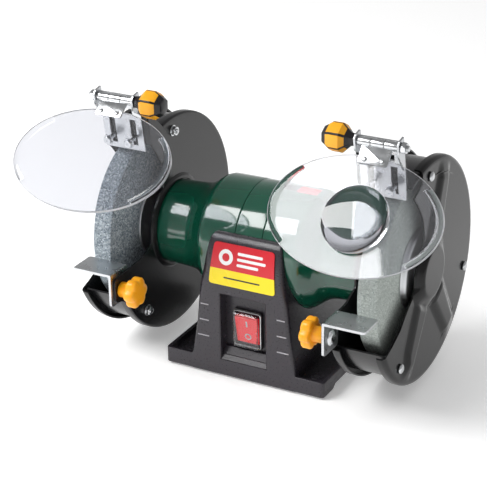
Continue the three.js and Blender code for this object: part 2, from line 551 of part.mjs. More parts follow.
// Outer cover: dished face, raised boss over the spindle end, rolled rim, front cut away.
function guardCover() {
  const shell = turned([
    [BOSS_OUT, 0], [BOSS_OUT, 25], [COVER_OUT, 31], [COVER_OUT, RIM_R - 3.5], [COVER_OUT - 1, RIM_R - 1.2],
    [COVER_OUT - 3, RIM_R], [COVER_OUT - RIM_TURN, RIM_R], [COVER_OUT - RIM_TURN, RIM_R - SHEET],
    [COVER_OUT - 3.3, RIM_R - SHEET], [COVER_IN, RIM_R - 4.5], [COVER_IN, 30],
    [BOSS_OUT - SHEET, 24.4], [BOSS_OUT - SHEET, 0]], 40);
  const cut = [polar(2 * RIM_R, 101), polar(0.86 * RIM_R, 102.5), polar(0.85 * RIM_R, 114),
    polar(0.54 * RIM_R, 105), ...arc(0.35 * RIM_R, 108, 200, 8), polar(0.47 * RIM_R, 203),
    polar(0.65 * RIM_R, 208), polar(0.86 * RIM_R, 207), polar(2 * RIM_R, OPEN_LOW), V2(-3 * RIM_R, 0)];
  let cover = shell.subtract(pushed('x', cut, 0, 2 * BOSS_OUT));
  boltHoles(COVER_IN - 1, COVER_OUT + 1).forEach((hole) => {
    cover = cover.subtract(hole);
  });
  return cover;
}
addPair(spindleLine, 'guard_cover', guardCover(), BLACK_STEEL);

// Through bolts that hold each cover to its inner guard, drawn with their nuts on.
Object.keys(BOLT_ANGLES).forEach((place) => {
  const p = boltPoint(place);
  const head = BOLT_D * 0.95;
  const body = turned([[DISC_IN - 5, 0], [DISC_IN - 5, BOLT_D / 2], [COVER_OUT + GAP, BOLT_D / 2],
    [COVER_OUT + GAP, head], [COVER_OUT + GAP + 1.2, head], [COVER_OUT + GAP + 2.4, head * 0.6],
    [COVER_OUT + GAP + 2.4, 0]], 12);
  const nut = pushed('x', hexagon(1.75 * BOLT_D), DISC_IN - GAP - 0.8 * BOLT_D, DISC_IN - GAP);
  addPair(spindleLine, `guard_bolt_${place}`, body.add(nut).translate(0, p.x, p.y), ZINC);
});

// ---------- Tool rests ----------
function toolRest() {
  const top = REST.above;
  const front = REST_BACK - REST.deep;
  const table = box(REST_IN, REST_IN + REST.w, front, REST_BACK, top - REST.t, top);
  const leg = pushed('x', roundedOutline(front, REST_BACK + 1, top - REST.t - REST.leg, top, 2.5),
    REST_IN, REST_IN + REST.t);
  const r = REST_BOLT_D / 2 + GAP;
  const slot = pushed('x', roundedOutline(REST_BOLT_Y - r - 0.2, REST_BOLT_Y + REST_TRAVEL + r + 0.2,
    REST_BOLT_Z - r, REST_BOLT_Z + r, r - 0.1), REST_IN - 1, REST_IN + REST.t + 1);
  return table.add(leg).subtract(slot);
}
addPair(spindleLine, 'tool_rest', toolRest(), ZINC);

const LEG_OUT = REST_IN + REST.t + GAP;
const STEM_OUT = DISC_IN - GAP;
const KNOB_OUT = STEM_OUT - 9;
addPair(spindleLine, 'rest_bolt', turned([
  [KNOB_OUT - 1, 0], [KNOB_OUT - 1, REST_BOLT_D / 2], [LEG_OUT, REST_BOLT_D / 2], [LEG_OUT, REST_BOLT_D * 1.1],
  [LEG_OUT + 1.2, REST_BOLT_D * 1.05], [LEG_OUT + 2.8, REST_BOLT_D * 0.6], [LEG_OUT + 2.8, 0]], 20)
  .translate(0, REST_BOLT_Y, REST_BOLT_Z), ZINC);

// Six-lobed clamping knob with a sleeve that bears on the guard.
function restKnob() {
  const points = [];
  for (let i = 0; i < 48; i += 1) {
    const angle = (360 * i) / 48;
    points.push(polar(KNOB.r * (0.9 + 0.1 * Math.cos(radians(6 * angle))), angle));
  }
  const head = pushed('x', points, KNOB_OUT - KNOB.thick, KNOB_OUT);
  const bored = head.add(rodX(KNOB_OUT - 0.5, STEM_OUT, KNOB.stem_r, 24));
  return bored.subtract(rodX(KNOB_OUT - 1.6, STEM_OUT + 1, REST_BOLT_D / 2 + GAP, 14));
}
addPair(spindleLine, 'rest_knob', restKnob().translate(0, REST_BOLT_Y, REST_BOLT_Z), ORANGE);

// ---------- Eye shields ----------
const bracketHalf = PLATE.w / 2;
const EAR = 1.6;

// Bracket and spark plate: slotted plate close to the wheel, with two ears that hold the rod.
function shieldBracket() {
  const plate = pushed('x', [onPlate(-2, PLATE_BACK), onPlate(PLATE.bottom, PLATE_BACK),
    onPlate(PLATE.bottom, -PLATE.standoff), onPlate(-2, -PLATE.standoff)],
  PLATE_X - bracketHalf, PLATE_X + bracketHalf);
  const earShape = (low) => [onPlate(-6, PLATE_BACK), onPlate(low, PLATE_BACK), onPlate(low, -PLATE.standoff),
    onPlate(6, 5), onPlate(-4, 5), onPlate(-6, 2)];
  const ear = (x, low) => pushed('x', earShape(low), x, x + EAR);
  let bracket = plate.add(ear(PLATE_X - bracketHalf, 14)).add(ear(PLATE_X + bracketHalf - EAR, 22));
  const slit = (x, half, s0, s1) => pushed('x', [onPlate(s0, -PLATE.standoff + 1), onPlate(s0, PLATE_BACK - 1),
    onPlate(s1, PLATE_BACK - 1), onPlate(s1, -PLATE.standoff + 1)], x - half, x + half);
  [-9.5, 9.5].forEach((x) => {
    bracket = bracket.subtract(slit(PLATE_X + x, 2.5, 20.5, 43.5));
  });
  bracket = bracket.subtract(slit(PLATE_X, 10, 10, 15));
  return bracket.subtract(rodX(0, 2 * PLATE_X, ROD_D / 2 + GAP, 16).translate(0, ROD_Y, ROD_Z));
}
addPair(spindleLine, 'shield_bracket', shieldBracket(), ZINC);

// Faceted clamping handle on the motor side, moulded over the end of the rod.
const HANDLE_OUT = PLATE_X - bracketHalf - GAP;
const HANDLE_END = HANDLE_OUT - HANDLE.length;
function shieldHandle() {
  const { r, length } = HANDLE;
  const grip = turned([[HANDLE_END, 0], [HANDLE_END, 0.62 * r], [HANDLE_END + 0.16 * length, 0.78 * r],
    [HANDLE_END + 0.3 * length, r], [HANDLE_END + 0.62 * length, r], [HANDLE_END + 0.85 * length, 0.5 * r],
    [HANDLE_OUT, 0.42 * r], [HANDLE_OUT, 0]], 6);
  return grip.subtract(rodX(HANDLE_END + 0.5 * length, HANDLE_OUT + 1, ROD_D / 2 + GAP, 14));
}
addPair(spindleLine, 'shield_handle', shieldHandle().translate(0, ROD_Y, ROD_Z), ORANGE);
const ROD_NUT = PLATE_X + bracketHalf + GAP;
const rod = rodX(HANDLE_END + 0.5 * HANDLE.length + GAP, ROD_NUT + 6, ROD_D / 2, 16)
  .add(pushed('x', hexagon(8), ROD_NUT, ROD_NUT + 4));
addPair(spindleLine, 'shield_rod', rod.translate(0, ROD_Y, ROD_Z), ZINC);

// Shield parts are drawn hanging straight down from the rod at the origin, then tilted forward.
const SHEET_BACK = 0.4;                      // behind the rod's centre line
const CLIP_X = 12;
function ellipse(steps) {
  return Array.from({ length: steps }, (_, i) => {
    const a = (2 * Math.PI * i) / steps;
    return V2(SHIELD.a * Math.cos(a), -SHIELD.centre + SHIELD.b * Math.sin(a));
  });
}
const eyeShield = pushed('y', ellipse(64), SHEET_BACK, SHEET_BACK + SHIELD.t);
const sleeveEnd = bracketHalf - EAR - GAP;
function shieldClip() {
  const front = SHEET_BACK - GAP;
  const barrel = ring(-sleeveEnd, sleeveEnd, ROD_D / 2 + GAP, SLEEVE_R, 18);
  const tongue = box(-CLIP_X, CLIP_X, front - 1.2, front, -CLIP_DROP, -ROD_D / 2 - 0.6);
  return barrel.add(tongue).subtract(box(-1, 1, -9, 9, -7, 9));
}
const magnifier = turned([[0, 0], [0, LENS_R - 0.8], [1, LENS_R], [2, LENS_R], [3.6, 0.66 * LENS_R],
  [4.4, 0.33 * LENS_R], [4.7, 0]], 32).rotate([0, 0, -90]);

['left', 'right'].forEach((side) => {
  const sign = side === 'left' ? -1 : 1;
  const hung = new THREE.Group();            // hinges on the rod
  hung.position.set(sign * PLATE_X, ROD_Y, ROD_Z);
  hung.rotation.x = -radians(SHIELD_TILT[side]);
  spindleLine.add(hung);
  const offset = -sign * 3;                  // the shields hang slightly towards the motor
  addPart(hung, `eye_shield_${side}`, eyeShield.translate(offset, 0, 0), ...CLEAR);
  addPart(hung, `shield_clip_${side}`, shieldClip(), ...ZINC);
  if (side === 'right') {
    const lens = magnifier.translate(0, SHEET_BACK - GAP - 1.5, -SHIELD.centre - 3);
    addPart(hung, 'magnifier_lens', lens, ...CLEAR);
  }
});

// The origin is the middle of the footprint, on the bench.
grinder.updateMatrixWorld(true);
const bounds = new THREE.Box3().setFromObject(grinder, true);
grinder.position.y = -(bounds.min.y + bounds.max.y) / 2;
grinder.position.x = -(bounds.min.x + bounds.max.x) / 2;

export default grinder;
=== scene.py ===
import math

import bmesh
import bpy
import numpy as np
from mathutils import Matrix, Vector


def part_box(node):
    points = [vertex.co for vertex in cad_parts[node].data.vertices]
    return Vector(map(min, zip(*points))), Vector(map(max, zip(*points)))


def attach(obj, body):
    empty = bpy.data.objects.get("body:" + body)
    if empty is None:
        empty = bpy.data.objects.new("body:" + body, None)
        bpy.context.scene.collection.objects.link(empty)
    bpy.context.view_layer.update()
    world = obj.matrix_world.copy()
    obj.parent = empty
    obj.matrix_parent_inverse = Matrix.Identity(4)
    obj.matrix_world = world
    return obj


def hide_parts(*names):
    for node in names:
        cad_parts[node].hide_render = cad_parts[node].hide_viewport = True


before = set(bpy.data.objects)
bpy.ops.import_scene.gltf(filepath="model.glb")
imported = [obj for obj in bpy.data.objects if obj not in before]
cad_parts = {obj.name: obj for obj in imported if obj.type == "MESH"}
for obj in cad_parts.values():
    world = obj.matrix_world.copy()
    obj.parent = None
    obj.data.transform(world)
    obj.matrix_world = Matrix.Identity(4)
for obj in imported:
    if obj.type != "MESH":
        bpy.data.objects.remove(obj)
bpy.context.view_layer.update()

# Sizes are in millimetres, apart from AXIS, FOOT, the lights and the floor, which are in metres.
# x runs along the spindle, y towards the rear, z up.
MM = 0.001
low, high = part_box("spindle")
AXIS = np.array([0.0, (low.y + high.y) / 2, (low.z + high.z) / 2])  # middle of the spindle
FOOT = np.array([0.0, AXIS[1], 0.0])         # the same spot, on the bench
AXIS_Z = AXIS[2] / MM
SIDES = {"left": -1, "right": 1}
MERGE, SLIVER = 2e-6, 1e-7                   # nearer points are joined, shorter edges taken out; metres


# ---------- Mesh code ----------
def surface(points, wrap_rows=False, wrap_cols=False, caps=False):
    """Quads over a grid of points; caps close the two open ends of a tube."""
    rows, cols = points.shape[:2]
    i, j = np.meshgrid(np.arange(rows - (not wrap_rows)), np.arange(cols - (not wrap_cols)),
                       indexing="ij")

    def at(a, b):
        return (a % rows) * cols + b % cols

    faces = np.stack([at(i, j), at(i + 1, j), at(i + 1, j + 1), at(i, j + 1)], -1)
    faces = faces.reshape(-1, 4).tolist()
    index = np.arange(rows * cols).reshape(rows, cols)
    if caps:
        ends = (index[0], index[-1]) if wrap_cols else (index[:, 0], index[:, -1])
        faces += [end.tolist() for end in ends]
    return points.reshape(-1, 3), faces


def full_turn(steps):
    return 2 * np.pi * np.arange(steps) / steps


def from_flat(t):
    """Angle from the middle of a hexagon's nearest side."""
    return (t + np.pi / 6) % (np.pi / 3) - np.pi / 6


def rings(rows, t, radius=1.0):
    """A ring round the x axis for each (x, k): (x, k R cos t, k R sin t)."""
    return np.stack([np.stack(np.broadcast_arrays(x, k * radius * np.cos(t), k * radius * np.sin(t)), -1)
                     for x, k in rows])


def polar(r, degrees):
    """(r cos a, r sin a) in the plane across the spindle: 0 is the rear, 90 the top, 180 the front."""
    a = np.radians(degrees)
    return np.stack(np.broadcast_arrays(r * np.cos(a), r * np.sin(a)), -1)


def eased(points, reach, closed=True, steps=4):
    """Corners rounded by the curve (1-s)^2 a + 2 s (1-s) p + s^2 b, a and b being reach from the corner
    p, or 0.48 of a side where that is less."""
    p = np.asarray(points, float)
    to_a, to_b = np.roll(p, 1, 0) - p, np.roll(p, -1, 0) - p
    len_a = np.linalg.norm(to_a, axis=1, keepdims=True)
    len_b = np.linalg.norm(to_b, axis=1, keepdims=True)
    d = np.minimum(np.broadcast_to(np.reshape(reach, (-1, 1)), len_a.shape),
                   0.48 * np.minimum(len_a, len_b))
    a, b = p + to_a / len_a * d, p + to_b / len_b * d
    s = np.linspace(0, 1, steps + 1)[None, :, None]
    curve = (1 - s) ** 2 * a[:, None] + 2 * s * (1 - s) * p[:, None] + s ** 2 * b[:, None]
    if closed:
        return curve.reshape(-1, 2)
    return np.concatenate([p[:1], curve[1:-1].reshape(-1, 2), p[-1:]])


def inset(outline, by):
    """Each point of a closed outline moved inwards by the same amount, along the mean of its sides'
    normals; the sign of the area says which way is in."""
    side = np.roll(outline, -1, 0) - outline
    x, y = outline.T
    turn = np.sign(np.sum(x * np.roll(y, -1) - y * np.roll(x, -1)))
    normal = np.stack([-side[:, 1], side[:, 0]], -1) * turn
    normal /= np.linalg.norm(normal, axis=1, keepdims=True) + 1e-12
    mean = normal + np.roll(normal, 1, 0)
    mean /= np.linalg.norm(mean, axis=1, keepdims=True) + 1e-12
    stretch = 1 / np.maximum(np.sum(mean * normal, 1, keepdims=True), 0.5)
    return outline + mean * stretch * by


def across(outline, level, axis):
    """A flat outline put at one level of an axis: (y, z) across x, (x, z) across y, (x, y) across z."""
    u, v = outline[..., 0], outline[..., 1]
    w = np.full_like(u, level)
    return np.stack({"x": (w, u, v), "y": (u, w, v), "z": (u, v, w)}[axis], -1)


def prism(outline, start, end, axis="x", edge=0.0):
    """An outline pushed from start to end, both rims rounded by edge through three inset copies."""
    outline = np.asarray(outline, float)
    if edge <= 0:
        levels = [(start, 0), (end, 0)]
    else:
        step = [(0, edge), (0.3 * edge, 0.3 * edge), (edge, 0)]
        levels = [(start + a, b) for a, b in step] + [(end - a, b) for a, b in step[::-1]]
    rows = np.stack([across(inset(outline, b) if b else outline, a, axis) for a, b in levels])
    return surface(rows, wrap_cols=True, caps=True)


def rectangle(x0, x1, y0, y1, r=0.0, steps=4):
    """Corners (x0, y0) to (x1, y1), rounded."""
    corners = [(x0, y0), (x1, y0), (x1, y1), (x0, y1)]
    return eased(corners, 1.4 * r, steps=steps) if r else np.array(corners, float)


def lathe(profile, steps=96, ring=True, axis="x"):
    """(along, r) points turned about an axis: (along, r cos t, r sin t); a ring closes on itself."""
    along, r = np.asarray(profile, float).T
    t = full_turn(steps)
    c, s = r[:, None] * np.cos(t), r[:, None] * np.sin(t)
    a = np.broadcast_to(along[:, None], c.shape)
    grid = np.stack({"x": (a, c, s), "y": (c, a, s), "z": (c, s, a)}[axis], -1)
    return surface(grid, wrap_rows=ring, wrap_cols=True)


def swept(profile, start, end):
    """A closed (x, r) section carried round the spindle from start to end degrees, with flat ends."""
    t = np.radians(np.linspace(start, end, int(abs(end - start) / 2) + 2))
    return surface(rings(profile, t), wrap_rows=True, caps=True)


def nut(x0, x1, flats, hole, steps=72):
    """Hexagon r = f / 2 / cos(angle from the nearest flat), both faces turned down to a cone at the
    corners."""
    t = full_turn(steps)
    hexagon, h = flats / 2 / np.cos(from_flat(t)), x1 - x0
    face, cone = np.minimum(hexagon, 0.49 * flats), np.minimum(hexagon, 0.545 * flats)
    rows = [(x0, hole), (x0, face), (x0 + 0.14 * h, cone), (x0 + 0.2 * h, hexagon),
            (x1 - 0.2 * h, hexagon), (x1 - 0.14 * h, cone), (x1, face), (x1, hole)]
    return surface(rings(rows, t), wrap_rows=True, wrap_cols=True)


def rays(outline, centre, angles):
    """Where rays from a centre meet a closed outline: c + t d = p + s e, solved by cross products."""
    p = np.asarray(outline, float) - centre
    e = np.roll(p, -1, 0) - p
    d = np.stack([np.cos(angles), np.sin(angles)], -1)
    cross = d[:, None, 0] * e[None, :, 1] - d[:, None, 1] * e[None, :, 0]
    cross = np.where(np.abs(cross) < 1e-12, 1e-12, cross)
    t = (p[:, 0] * e[:, 1] - p[:, 1] * e[:, 0])[None] / cross
    s = (p[None, :, 0] * d[:, None, 1] - p[None, :, 1] * d[:, None, 0]) / cross
    t = np.where((t > 0) & (s > -1e-9) & (s < 1 + 1e-9), t, np.inf)
    return centre + d * t.min(1)[:, None]


def holed(outer, hole, centre, start, end, axis, steps=96):
    """Flat plate between an outline and a hole, both met by the same rays from the hole's centre."""
    corners = np.asarray(outer, float) - centre
    angles = np.sort(np.concatenate([np.linspace(-np.pi, np.pi, steps, endpoint=False),
                                     np.arctan2(corners[:, 1], corners[:, 0])]))
    angles = angles[np.concatenate([[True], np.diff(angles) > 1e-6])]
    out, inn = rays(outer, centre, angles), rays(hole, centre, angles)
    grid = np.stack([across(out, start, axis), across(out, end, axis), across(inn, end, axis),
                     across(inn, start, axis)])
    return surface(grid, wrap_rows=True, wrap_cols=True)


def moved(shell, x=0.0, y=0.0, z=0.0):
    return shell[0] + np.array([x, y, z], float), shell[1]


def turned(shell, axis, degrees):
    """Turned about an axis through the origin by the right-hand rule."""
    turn = np.array(Matrix.Rotation(math.radians(degrees), 3, axis))
    return shell[0] @ turn.T, shell[1]


def on_side(shell, sign):
    """Drawn for the right-hand end; the left-hand one is its mirror image, x to -x."""
    return shell[0] * np.array([sign, 1.0, 1.0]), shell[1]


def piece(name, shells, body, replaces=(), smooth=38, origin=AXIS):
    """One object of closed shells, each with its own material, faces outwards and sharp edges kept."""
    joined = bmesh.new()
    finishes = []
    for (points, faces), look in shells:
        if look not in finishes:
            finishes.append(look)
        loose = bpy.data.meshes.new("shell")
        loose.from_pydata((points * MM + origin).tolist(), [], faces)
        shell = bmesh.new()
        shell.from_mesh(loose)
        bmesh.ops.remove_doubles(shell, verts=shell.verts, dist=MERGE)
        bmesh.ops.dissolve_degenerate(shell, edges=shell.edges, dist=SLIVER)
        bmesh.ops.recalc_face_normals(shell, faces=shell.faces)
        for face in shell.faces:
            face.material_index = finishes.index(look)
        shell.to_mesh(loose)
        joined.from_mesh(loose)
        shell.free()
        bpy.data.meshes.remove(loose)
    mesh = bpy.data.meshes.new(name)
    joined.to_mesh(mesh)
    joined.free()
    for look in finishes:
        mesh.materials.append(look)
    mesh.shade_smooth()
    mesh.set_sharp_from_angle(angle=math.radians(smooth))
    obj = bpy.data.objects.new(name, mesh)
    bpy.context.scene.collection.objects.link(obj)
    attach(obj, body)
    if replaces:
        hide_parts(*replaces)
    return obj


# ---------- Material code ----------
PER_METRE = 1000                             # over a size in mm, this is a pattern's scale
RGBA = {"data_type": "RGBA"}


def linear(code):
    """sRGB hex to linear: ((c + 0.055) / 1.055) ^ 2.4 above 0.04045, c / 12.92 below."""
    c = np.array([int(code[i:i + 2], 16) for i in (1, 3, 5)]) / 255
    return (*np.where(c > 0.04045, ((c + 0.055) / 1.055) ** 2.4, c / 12.92).tolist(), 1.0)


def fill(tree, owner, inputs):
    """Sets or links inputs; spaces in a socket's name are written as _, and i7 is the input of
    number 7."""
    for key, value in inputs.items():
        socket = owner.inputs[int(key[1:]) if key[1:].isdigit() else key.replace("_", " ")]
        if isinstance(value, bpy.types.NodeSocket):
            tree.links.new(value, socket)
        else:
            socket.default_value = value


def node(tree, kind, out=0, settings=None, **inputs):
    """Adds a node with its settings and links, and returns one of its outputs."""
    made = tree.nodes.new(kind)
    for key, value in (settings or {}).items():
        setattr(made, key, value)
    fill(tree, made, inputs)
    return made.outputs[out]


def finish(name, colour, roughness, metallic=0.0, **more):
    """A Principled surface; returns the material, its tree, its shader and Object coordinates."""
    made = bpy.data.materials.new(name)
    made.use_nodes = True
    tree = made.node_tree
    shader = tree.nodes["Principled BSDF"]
    fill(tree, shader, {"Base_Color": linear(colour), "Roughness": roughness, "Metallic": metallic,
                        **more})
    return made, tree, shader, node(tree, "ShaderNodeTexCoord", "Object")


def moulded(name, first, second, roughness, grain=1.2, depth=0.03, **more):
    """Moulded plastic: fine spark-eroded grain that breaks up the gloss, and slow drifts in shade."""
    made, tree, shader, where = finish(name, first, roughness, **more)
    drift = node(tree, "ShaderNodeTexNoise", "Fac", Vector=where, Scale=PER_METRE / 30, Detail=2.0)
    tone = node(tree, "ShaderNodeMix", 2, RGBA, i0=drift, i6=linear(first), i7=linear(second))
    fine = node(tree, "ShaderNodeTexNoise", "Fac", Vector=where, Scale=PER_METRE / grain, Detail=2.0)
    gloss = node(tree, "ShaderNodeMapRange", Value=fine, From_Min=0.3, From_Max=0.7,
                 To_Min=roughness - 0.06, To_Max=roughness + 0.08)
    relief = node(tree, "ShaderNodeBump", Height=fine, Distance=depth * MM)
    fill(tree, shader, {"Base_Color": tone, "Roughness": gloss, "Normal": relief})
    return made


def zinc(name, colour, roughness):
    """Zinc-plated steel: bright and slightly clouded, the plating's patches differing in gloss."""
    made, tree, shader, where = finish(name, colour, roughness, 1.0)
    cloud = node(tree, "ShaderNodeTexNoise", "Fac", Vector=where, Scale=PER_METRE / 9, Detail=4.0)
    tone = node(tree, "ShaderNodeMix", 2, RGBA, i0=cloud, i6=linear(colour), i7=linear("#dfe1e3"))
    gloss = node(tree, "ShaderNodeMapRange", Value=cloud, From_Min=0.3, From_Max=0.7,
                 To_Min=roughness - 0.08, To_Max=roughness + 0.1)
    ripple = node(tree, "ShaderNodeTexNoise", "Fac", Vector=where, Scale=PER_METRE / 1.5, Detail=2.0)
    relief = node(tree, "ShaderNodeBump", Height=ripple, Distance=0.008 * MM)
    fill(tree, shader, {"Base_Color": tone, "Roughness": gloss, "Normal": relief})
    return made


def sprayed(name, first, second, roughness, peel, depth, **more):
    """Sprayed or powder paint: orange-peel ripples in the gloss over an even colour."""
    made, tree, shader, where = finish(name, first, roughness, **more)
    drift = node(tree, "ShaderNodeTexNoise", "Fac", Vector=where, Scale=PER_METRE / 60, Detail=2.0)
    tone = node(tree, "ShaderNodeMix", 2, RGBA, i0=drift, i6=linear(first), i7=linear(second))
    ripple = node(tree, "ShaderNodeTexNoise", "Fac", Vector=where, Scale=PER_METRE / peel, Detail=1.0)
    relief = node(tree, "ShaderNodeBump", Height=ripple, Distance=depth * MM)
    fill(tree, shader, {"Base_Color": tone, "Normal": relief})
    return made


def abrasive(name, bond, light, dark, grit, depth):
    """Vitrified grit: pale and dark grains in a dull bond, pitted where grains have broken out.
    The grit is drawn about twice its real size, or it would be too fine to see."""
    made, tree, shader, where = finish(name, bond, 0.92, Specular_IOR_Level=0.2)
    cells = node(tree, "ShaderNodeTexVoronoi", "Color", Vector=where, Scale=PER_METRE / grit)
    pits = node(tree, "ShaderNodeTexVoronoi", "Distance", Vector=where, Scale=PER_METRE / grit)
    tint = node(tree, "ShaderNodeSeparateColor", "Red", Color=cells)
    pale = node(tree, "ShaderNodeMapRange", Value=tint, From_Min=0.62, From_Max=1.0)
    dull = node(tree, "ShaderNodeMapRange", Value=tint, From_Min=0.36, From_Max=0.0)
    grain = node(tree, "ShaderNodeMix", 2, RGBA, i0=pale, i6=linear(bond), i7=linear(light))
    grain = node(tree, "ShaderNodeMix", 2, RGBA, i0=dull, i6=grain, i7=linear(dark))
    patch = node(tree, "ShaderNodeTexNoise", "Fac", Vector=where, Scale=PER_METRE / 22, Detail=3.0)
    patch = node(tree, "ShaderNodeMapRange", Value=patch, From_Min=0.3, From_Max=0.7,
                 To_Min=0.9, To_Max=1.08)
    shade = node(tree, "ShaderNodeVectorMath", "Vector", {"operation": "SCALE"}, i0=grain, Scale=patch)
    lumps = node(tree, "ShaderNodeTexNoise", "Fac", Vector=where, Scale=PER_METRE / grit / 0.7,
                 Detail=2.0)
    rough = node(tree, "ShaderNodeMath", 0, {"operation": "MULTIPLY_ADD"}, i0=pits, i1=-0.8, i2=lumps)
    relief = node(tree, "ShaderNodeBump", Height=rough, Distance=depth * MM)
    fill(tree, shader, {"Base_Color": shade, "Normal": relief})
    return made


def clear_sheet(name, colour, roughness, wave, depth, **more):
    """Clear plastic: almost colourless, with slow waves from rolling and a film of dust in the gloss."""
    made, tree, shader, where = finish(name, colour, roughness, **more)
    haze = node(tree, "ShaderNodeTexNoise", "Fac", Vector=where, Scale=PER_METRE / 35, Detail=2.0)
    gloss = node(tree, "ShaderNodeMapRange", Value=haze, From_Min=0.3, From_Max=0.7,
                 To_Min=0.7 * roughness, To_Max=1.4 * roughness)
    slow = node(tree, "ShaderNodeTexNoise", "Fac", Vector=where, Scale=PER_METRE / wave, Detail=1.0)
    relief = node(tree, "ShaderNodeBump", Height=slow, Distance=depth * MM)
    fill(tree, shader, {"Roughness": gloss, "Normal": relief})
    return made


def laminated():
    """Stack of electrical steel: the sheets' edges drawn 1 mm thick, twice the real thickness."""
    made, tree, shader, where = finish("laminated electrical steel", "#8d8f93", 0.45, 1.0)
    x = node(tree, "ShaderNodeSeparateXYZ", "X", Vector=where)
    turns = node(tree, "ShaderNodeMath", 0, {"operation": "MULTIPLY"}, i0=x, i1=2 * math.pi * PER_METRE)
    wave = node(tree, "ShaderNodeMath", 0, {"operation": "SINE"}, i0=turns)
    tone = node(tree, "ShaderNodeMapRange", Value=wave, From_Min=-1.0)
    fill(tree, shader, {"Base_Color": node(tree, "ShaderNodeMix", 2, RGBA, i0=tone,
                                           i6=linear("#6f7175"), i7=linear("#9ea0a4"))})
    return made


# Glossy stove enamel over cast aluminium: deep green, mirror-like with a faint ripple.
GREEN = sprayed("stove enamel on cast aluminium", "#084a37", "#0a503c", 0.14, 9, 0.012,
                Coat_Weight=0.9, Coat_Roughness=0.05)
# Black powder coat on pressed steel: satin, soft-edged reflections.
BLACK_STEEL = sprayed("powder coat on pressed steel", "#121214", "#18181a", 0.27, 4, 0.025,
                      Specular_IOR_Level=0.45)
# The covers' paint is glossier and blacker.
BLACK_GLOSS = sprayed("gloss powder coat on pressed steel", "#09090a", "#0d0d0e", 0.17, 5, 0.02,
                      Specular_IOR_Level=0.32)
# ABS, moulded: dark violet grey with a fine satin grain.
ABS = moulded("ABS moulded", "#2a262d", "#2f2b32", 0.31, 1.4, 0.02, Specular_IOR_Level=0.55)
# The same ABS painted pale on the mould's ridges: a painted highlight for the light along their edges.
ABS_RIDGE_PAINTED_HIGHLIGHT = moulded("ABS moulded ridge painted highlight", "#a4a2a8", "#b6b4b9", 0.5)
# Bright zinc on pressed steel, bolts and nuts.
ZINC = zinc("zinc-plated steel sheet", "#b9bbbe", 0.3)
ZINC_BOLT = zinc("zinc-plated steel fastener", "#c2c4c6", 0.2)
# Nylon, moulded: warm orange, light glows a little inside it.
ORANGE = moulded("nylon moulded orange", "#ffa60e", "#ffae1a", 0.34, 1.6, 0.02, Subsurface_Weight=0.15,
                 Subsurface_Scale=0.004)
BLACK_NYLON = moulded("nylon moulded black", "#141216", "#1a181c", 0.32, 1.6, 0.02)
# Translucent red with a painted glow: a weak red emission makes the rocker shine as if lit from inside.
RED_ROCKER_PAINTED_GLOW = moulded("polycarbonate moulded red with painted glow", "#e5101f", "#ee1c2b", 0.18, 3, 0.01,
                     Subsurface_Weight=0.2, Subsurface_Scale=0.003,
                     Emission_Color=linear("#ff1c28"), Emission_Strength=0.35)
RUBBER = moulded("rubber moulded", "#161616", "#1d1d1d", 0.8, 1.1, 0.05)
# Film printed in flat colours on the name plate.
FILM_RED = moulded("printed film red", "#d5202e", "#d92734", 0.3, 30, 0.002)
FILM_YELLOW = moulded("printed film yellow", "#fde208", "#ffe615", 0.3, 30, 0.002)
FILM_WHITE = moulded("printed film white", "#f2f2f2", "#fafafa", 0.3, 30, 0.002)
FILM_DARK = moulded("printed film dark", "#2a2220", "#332a28", 0.35, 30, 0.002)
# Vitrified wheels: coarse blue-grey grit on the left, finer green-grey grit on the right.
COARSE = abrasive("vitrified alumina coarse grit", "#99a3aa", "#cfd7dc", "#66717a", 1.1, 0.1)
FINE = abrasive("vitrified alumina fine grit", "#b4bbb6", "#cdd4cf", "#98a19c", 0.9, 0.06)
STEEL = zinc("ground steel", "#b4b6b9", 0.34)
# Machined aluminium: pale and even, its fine turning marks spreading the light.
MACHINED = zinc("machined aluminium", "#dcdee1", 0.44)
ALUMINIUM = zinc("drawn aluminium can", "#c9ccd0", 0.3)
# Varnished copper wire: amber lacquer over rounds of wire.
COPPER = sprayed("varnished copper wire", "#b0602a", "#a4541f", 0.3, 0.8, 0.2, Metallic=0.9,
                 Coat_Weight=0.5)
# Polycarbonate sheet, faintly smoky, and its cut edge, frosted and drawn opaque near-white: partly the
# edge's own pale colour, partly a painted highlight for the light it gathers as a pale line.
CLEAR = clear_sheet("polycarbonate sheet", "#dfe0e5", 0.03, 60, 0.05,
                    Transmission_Weight=0.98, IOR=1.5, Specular_IOR_Level=0.18)
CUT_EDGE_AND_HIGHLIGHT = moulded("polycarbonate cut edge with painted highlight", "#fafbfc", "#ffffff", 0.45, 1.5, 0.01)
# Acrylic, polished: optically clear, sharp reflections.
OPTICAL = clear_sheet("acrylic polished", "#f4f5f7", 0.012, 40, 0.01, Transmission_Weight=1.0, IOR=1.49)
# Ground optical glass, denser than the sheet: bright reflections and strong bending at its rim.
GLASS = clear_sheet("optical glass", "#e4e5e9", 0.01, 40, 0.005, Transmission_Weight=1.0, IOR=1.62)
LAMINATED = laminated()

# Nodes of model.glb that stay shown with these materials; the rest of their kind are ground steel.
SHOWN = {"stator_core": LAMINATED, "rotor_core": LAMINATED, "stator_winding": COPPER,
         "run_capacitor": ALUMINIUM, "shield_bracket_left": ZINC, "shield_bracket_right": ZINC}
for name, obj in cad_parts.items():
    obj.data.materials.clear()
    obj.data.materials.append(SHOWN.get(name, STEEL))

for side in SIDES:
    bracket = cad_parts[f"shield_bracket_{side}"]
    bracket.modifiers.new("weld", "WELD").merge_threshold = 1e-5
    soft = bracket.modifiers.new("edges", "BEVEL")
    soft.width, soft.segments, soft.angle_limit = 0.3 * MM, 2, math.radians(30)

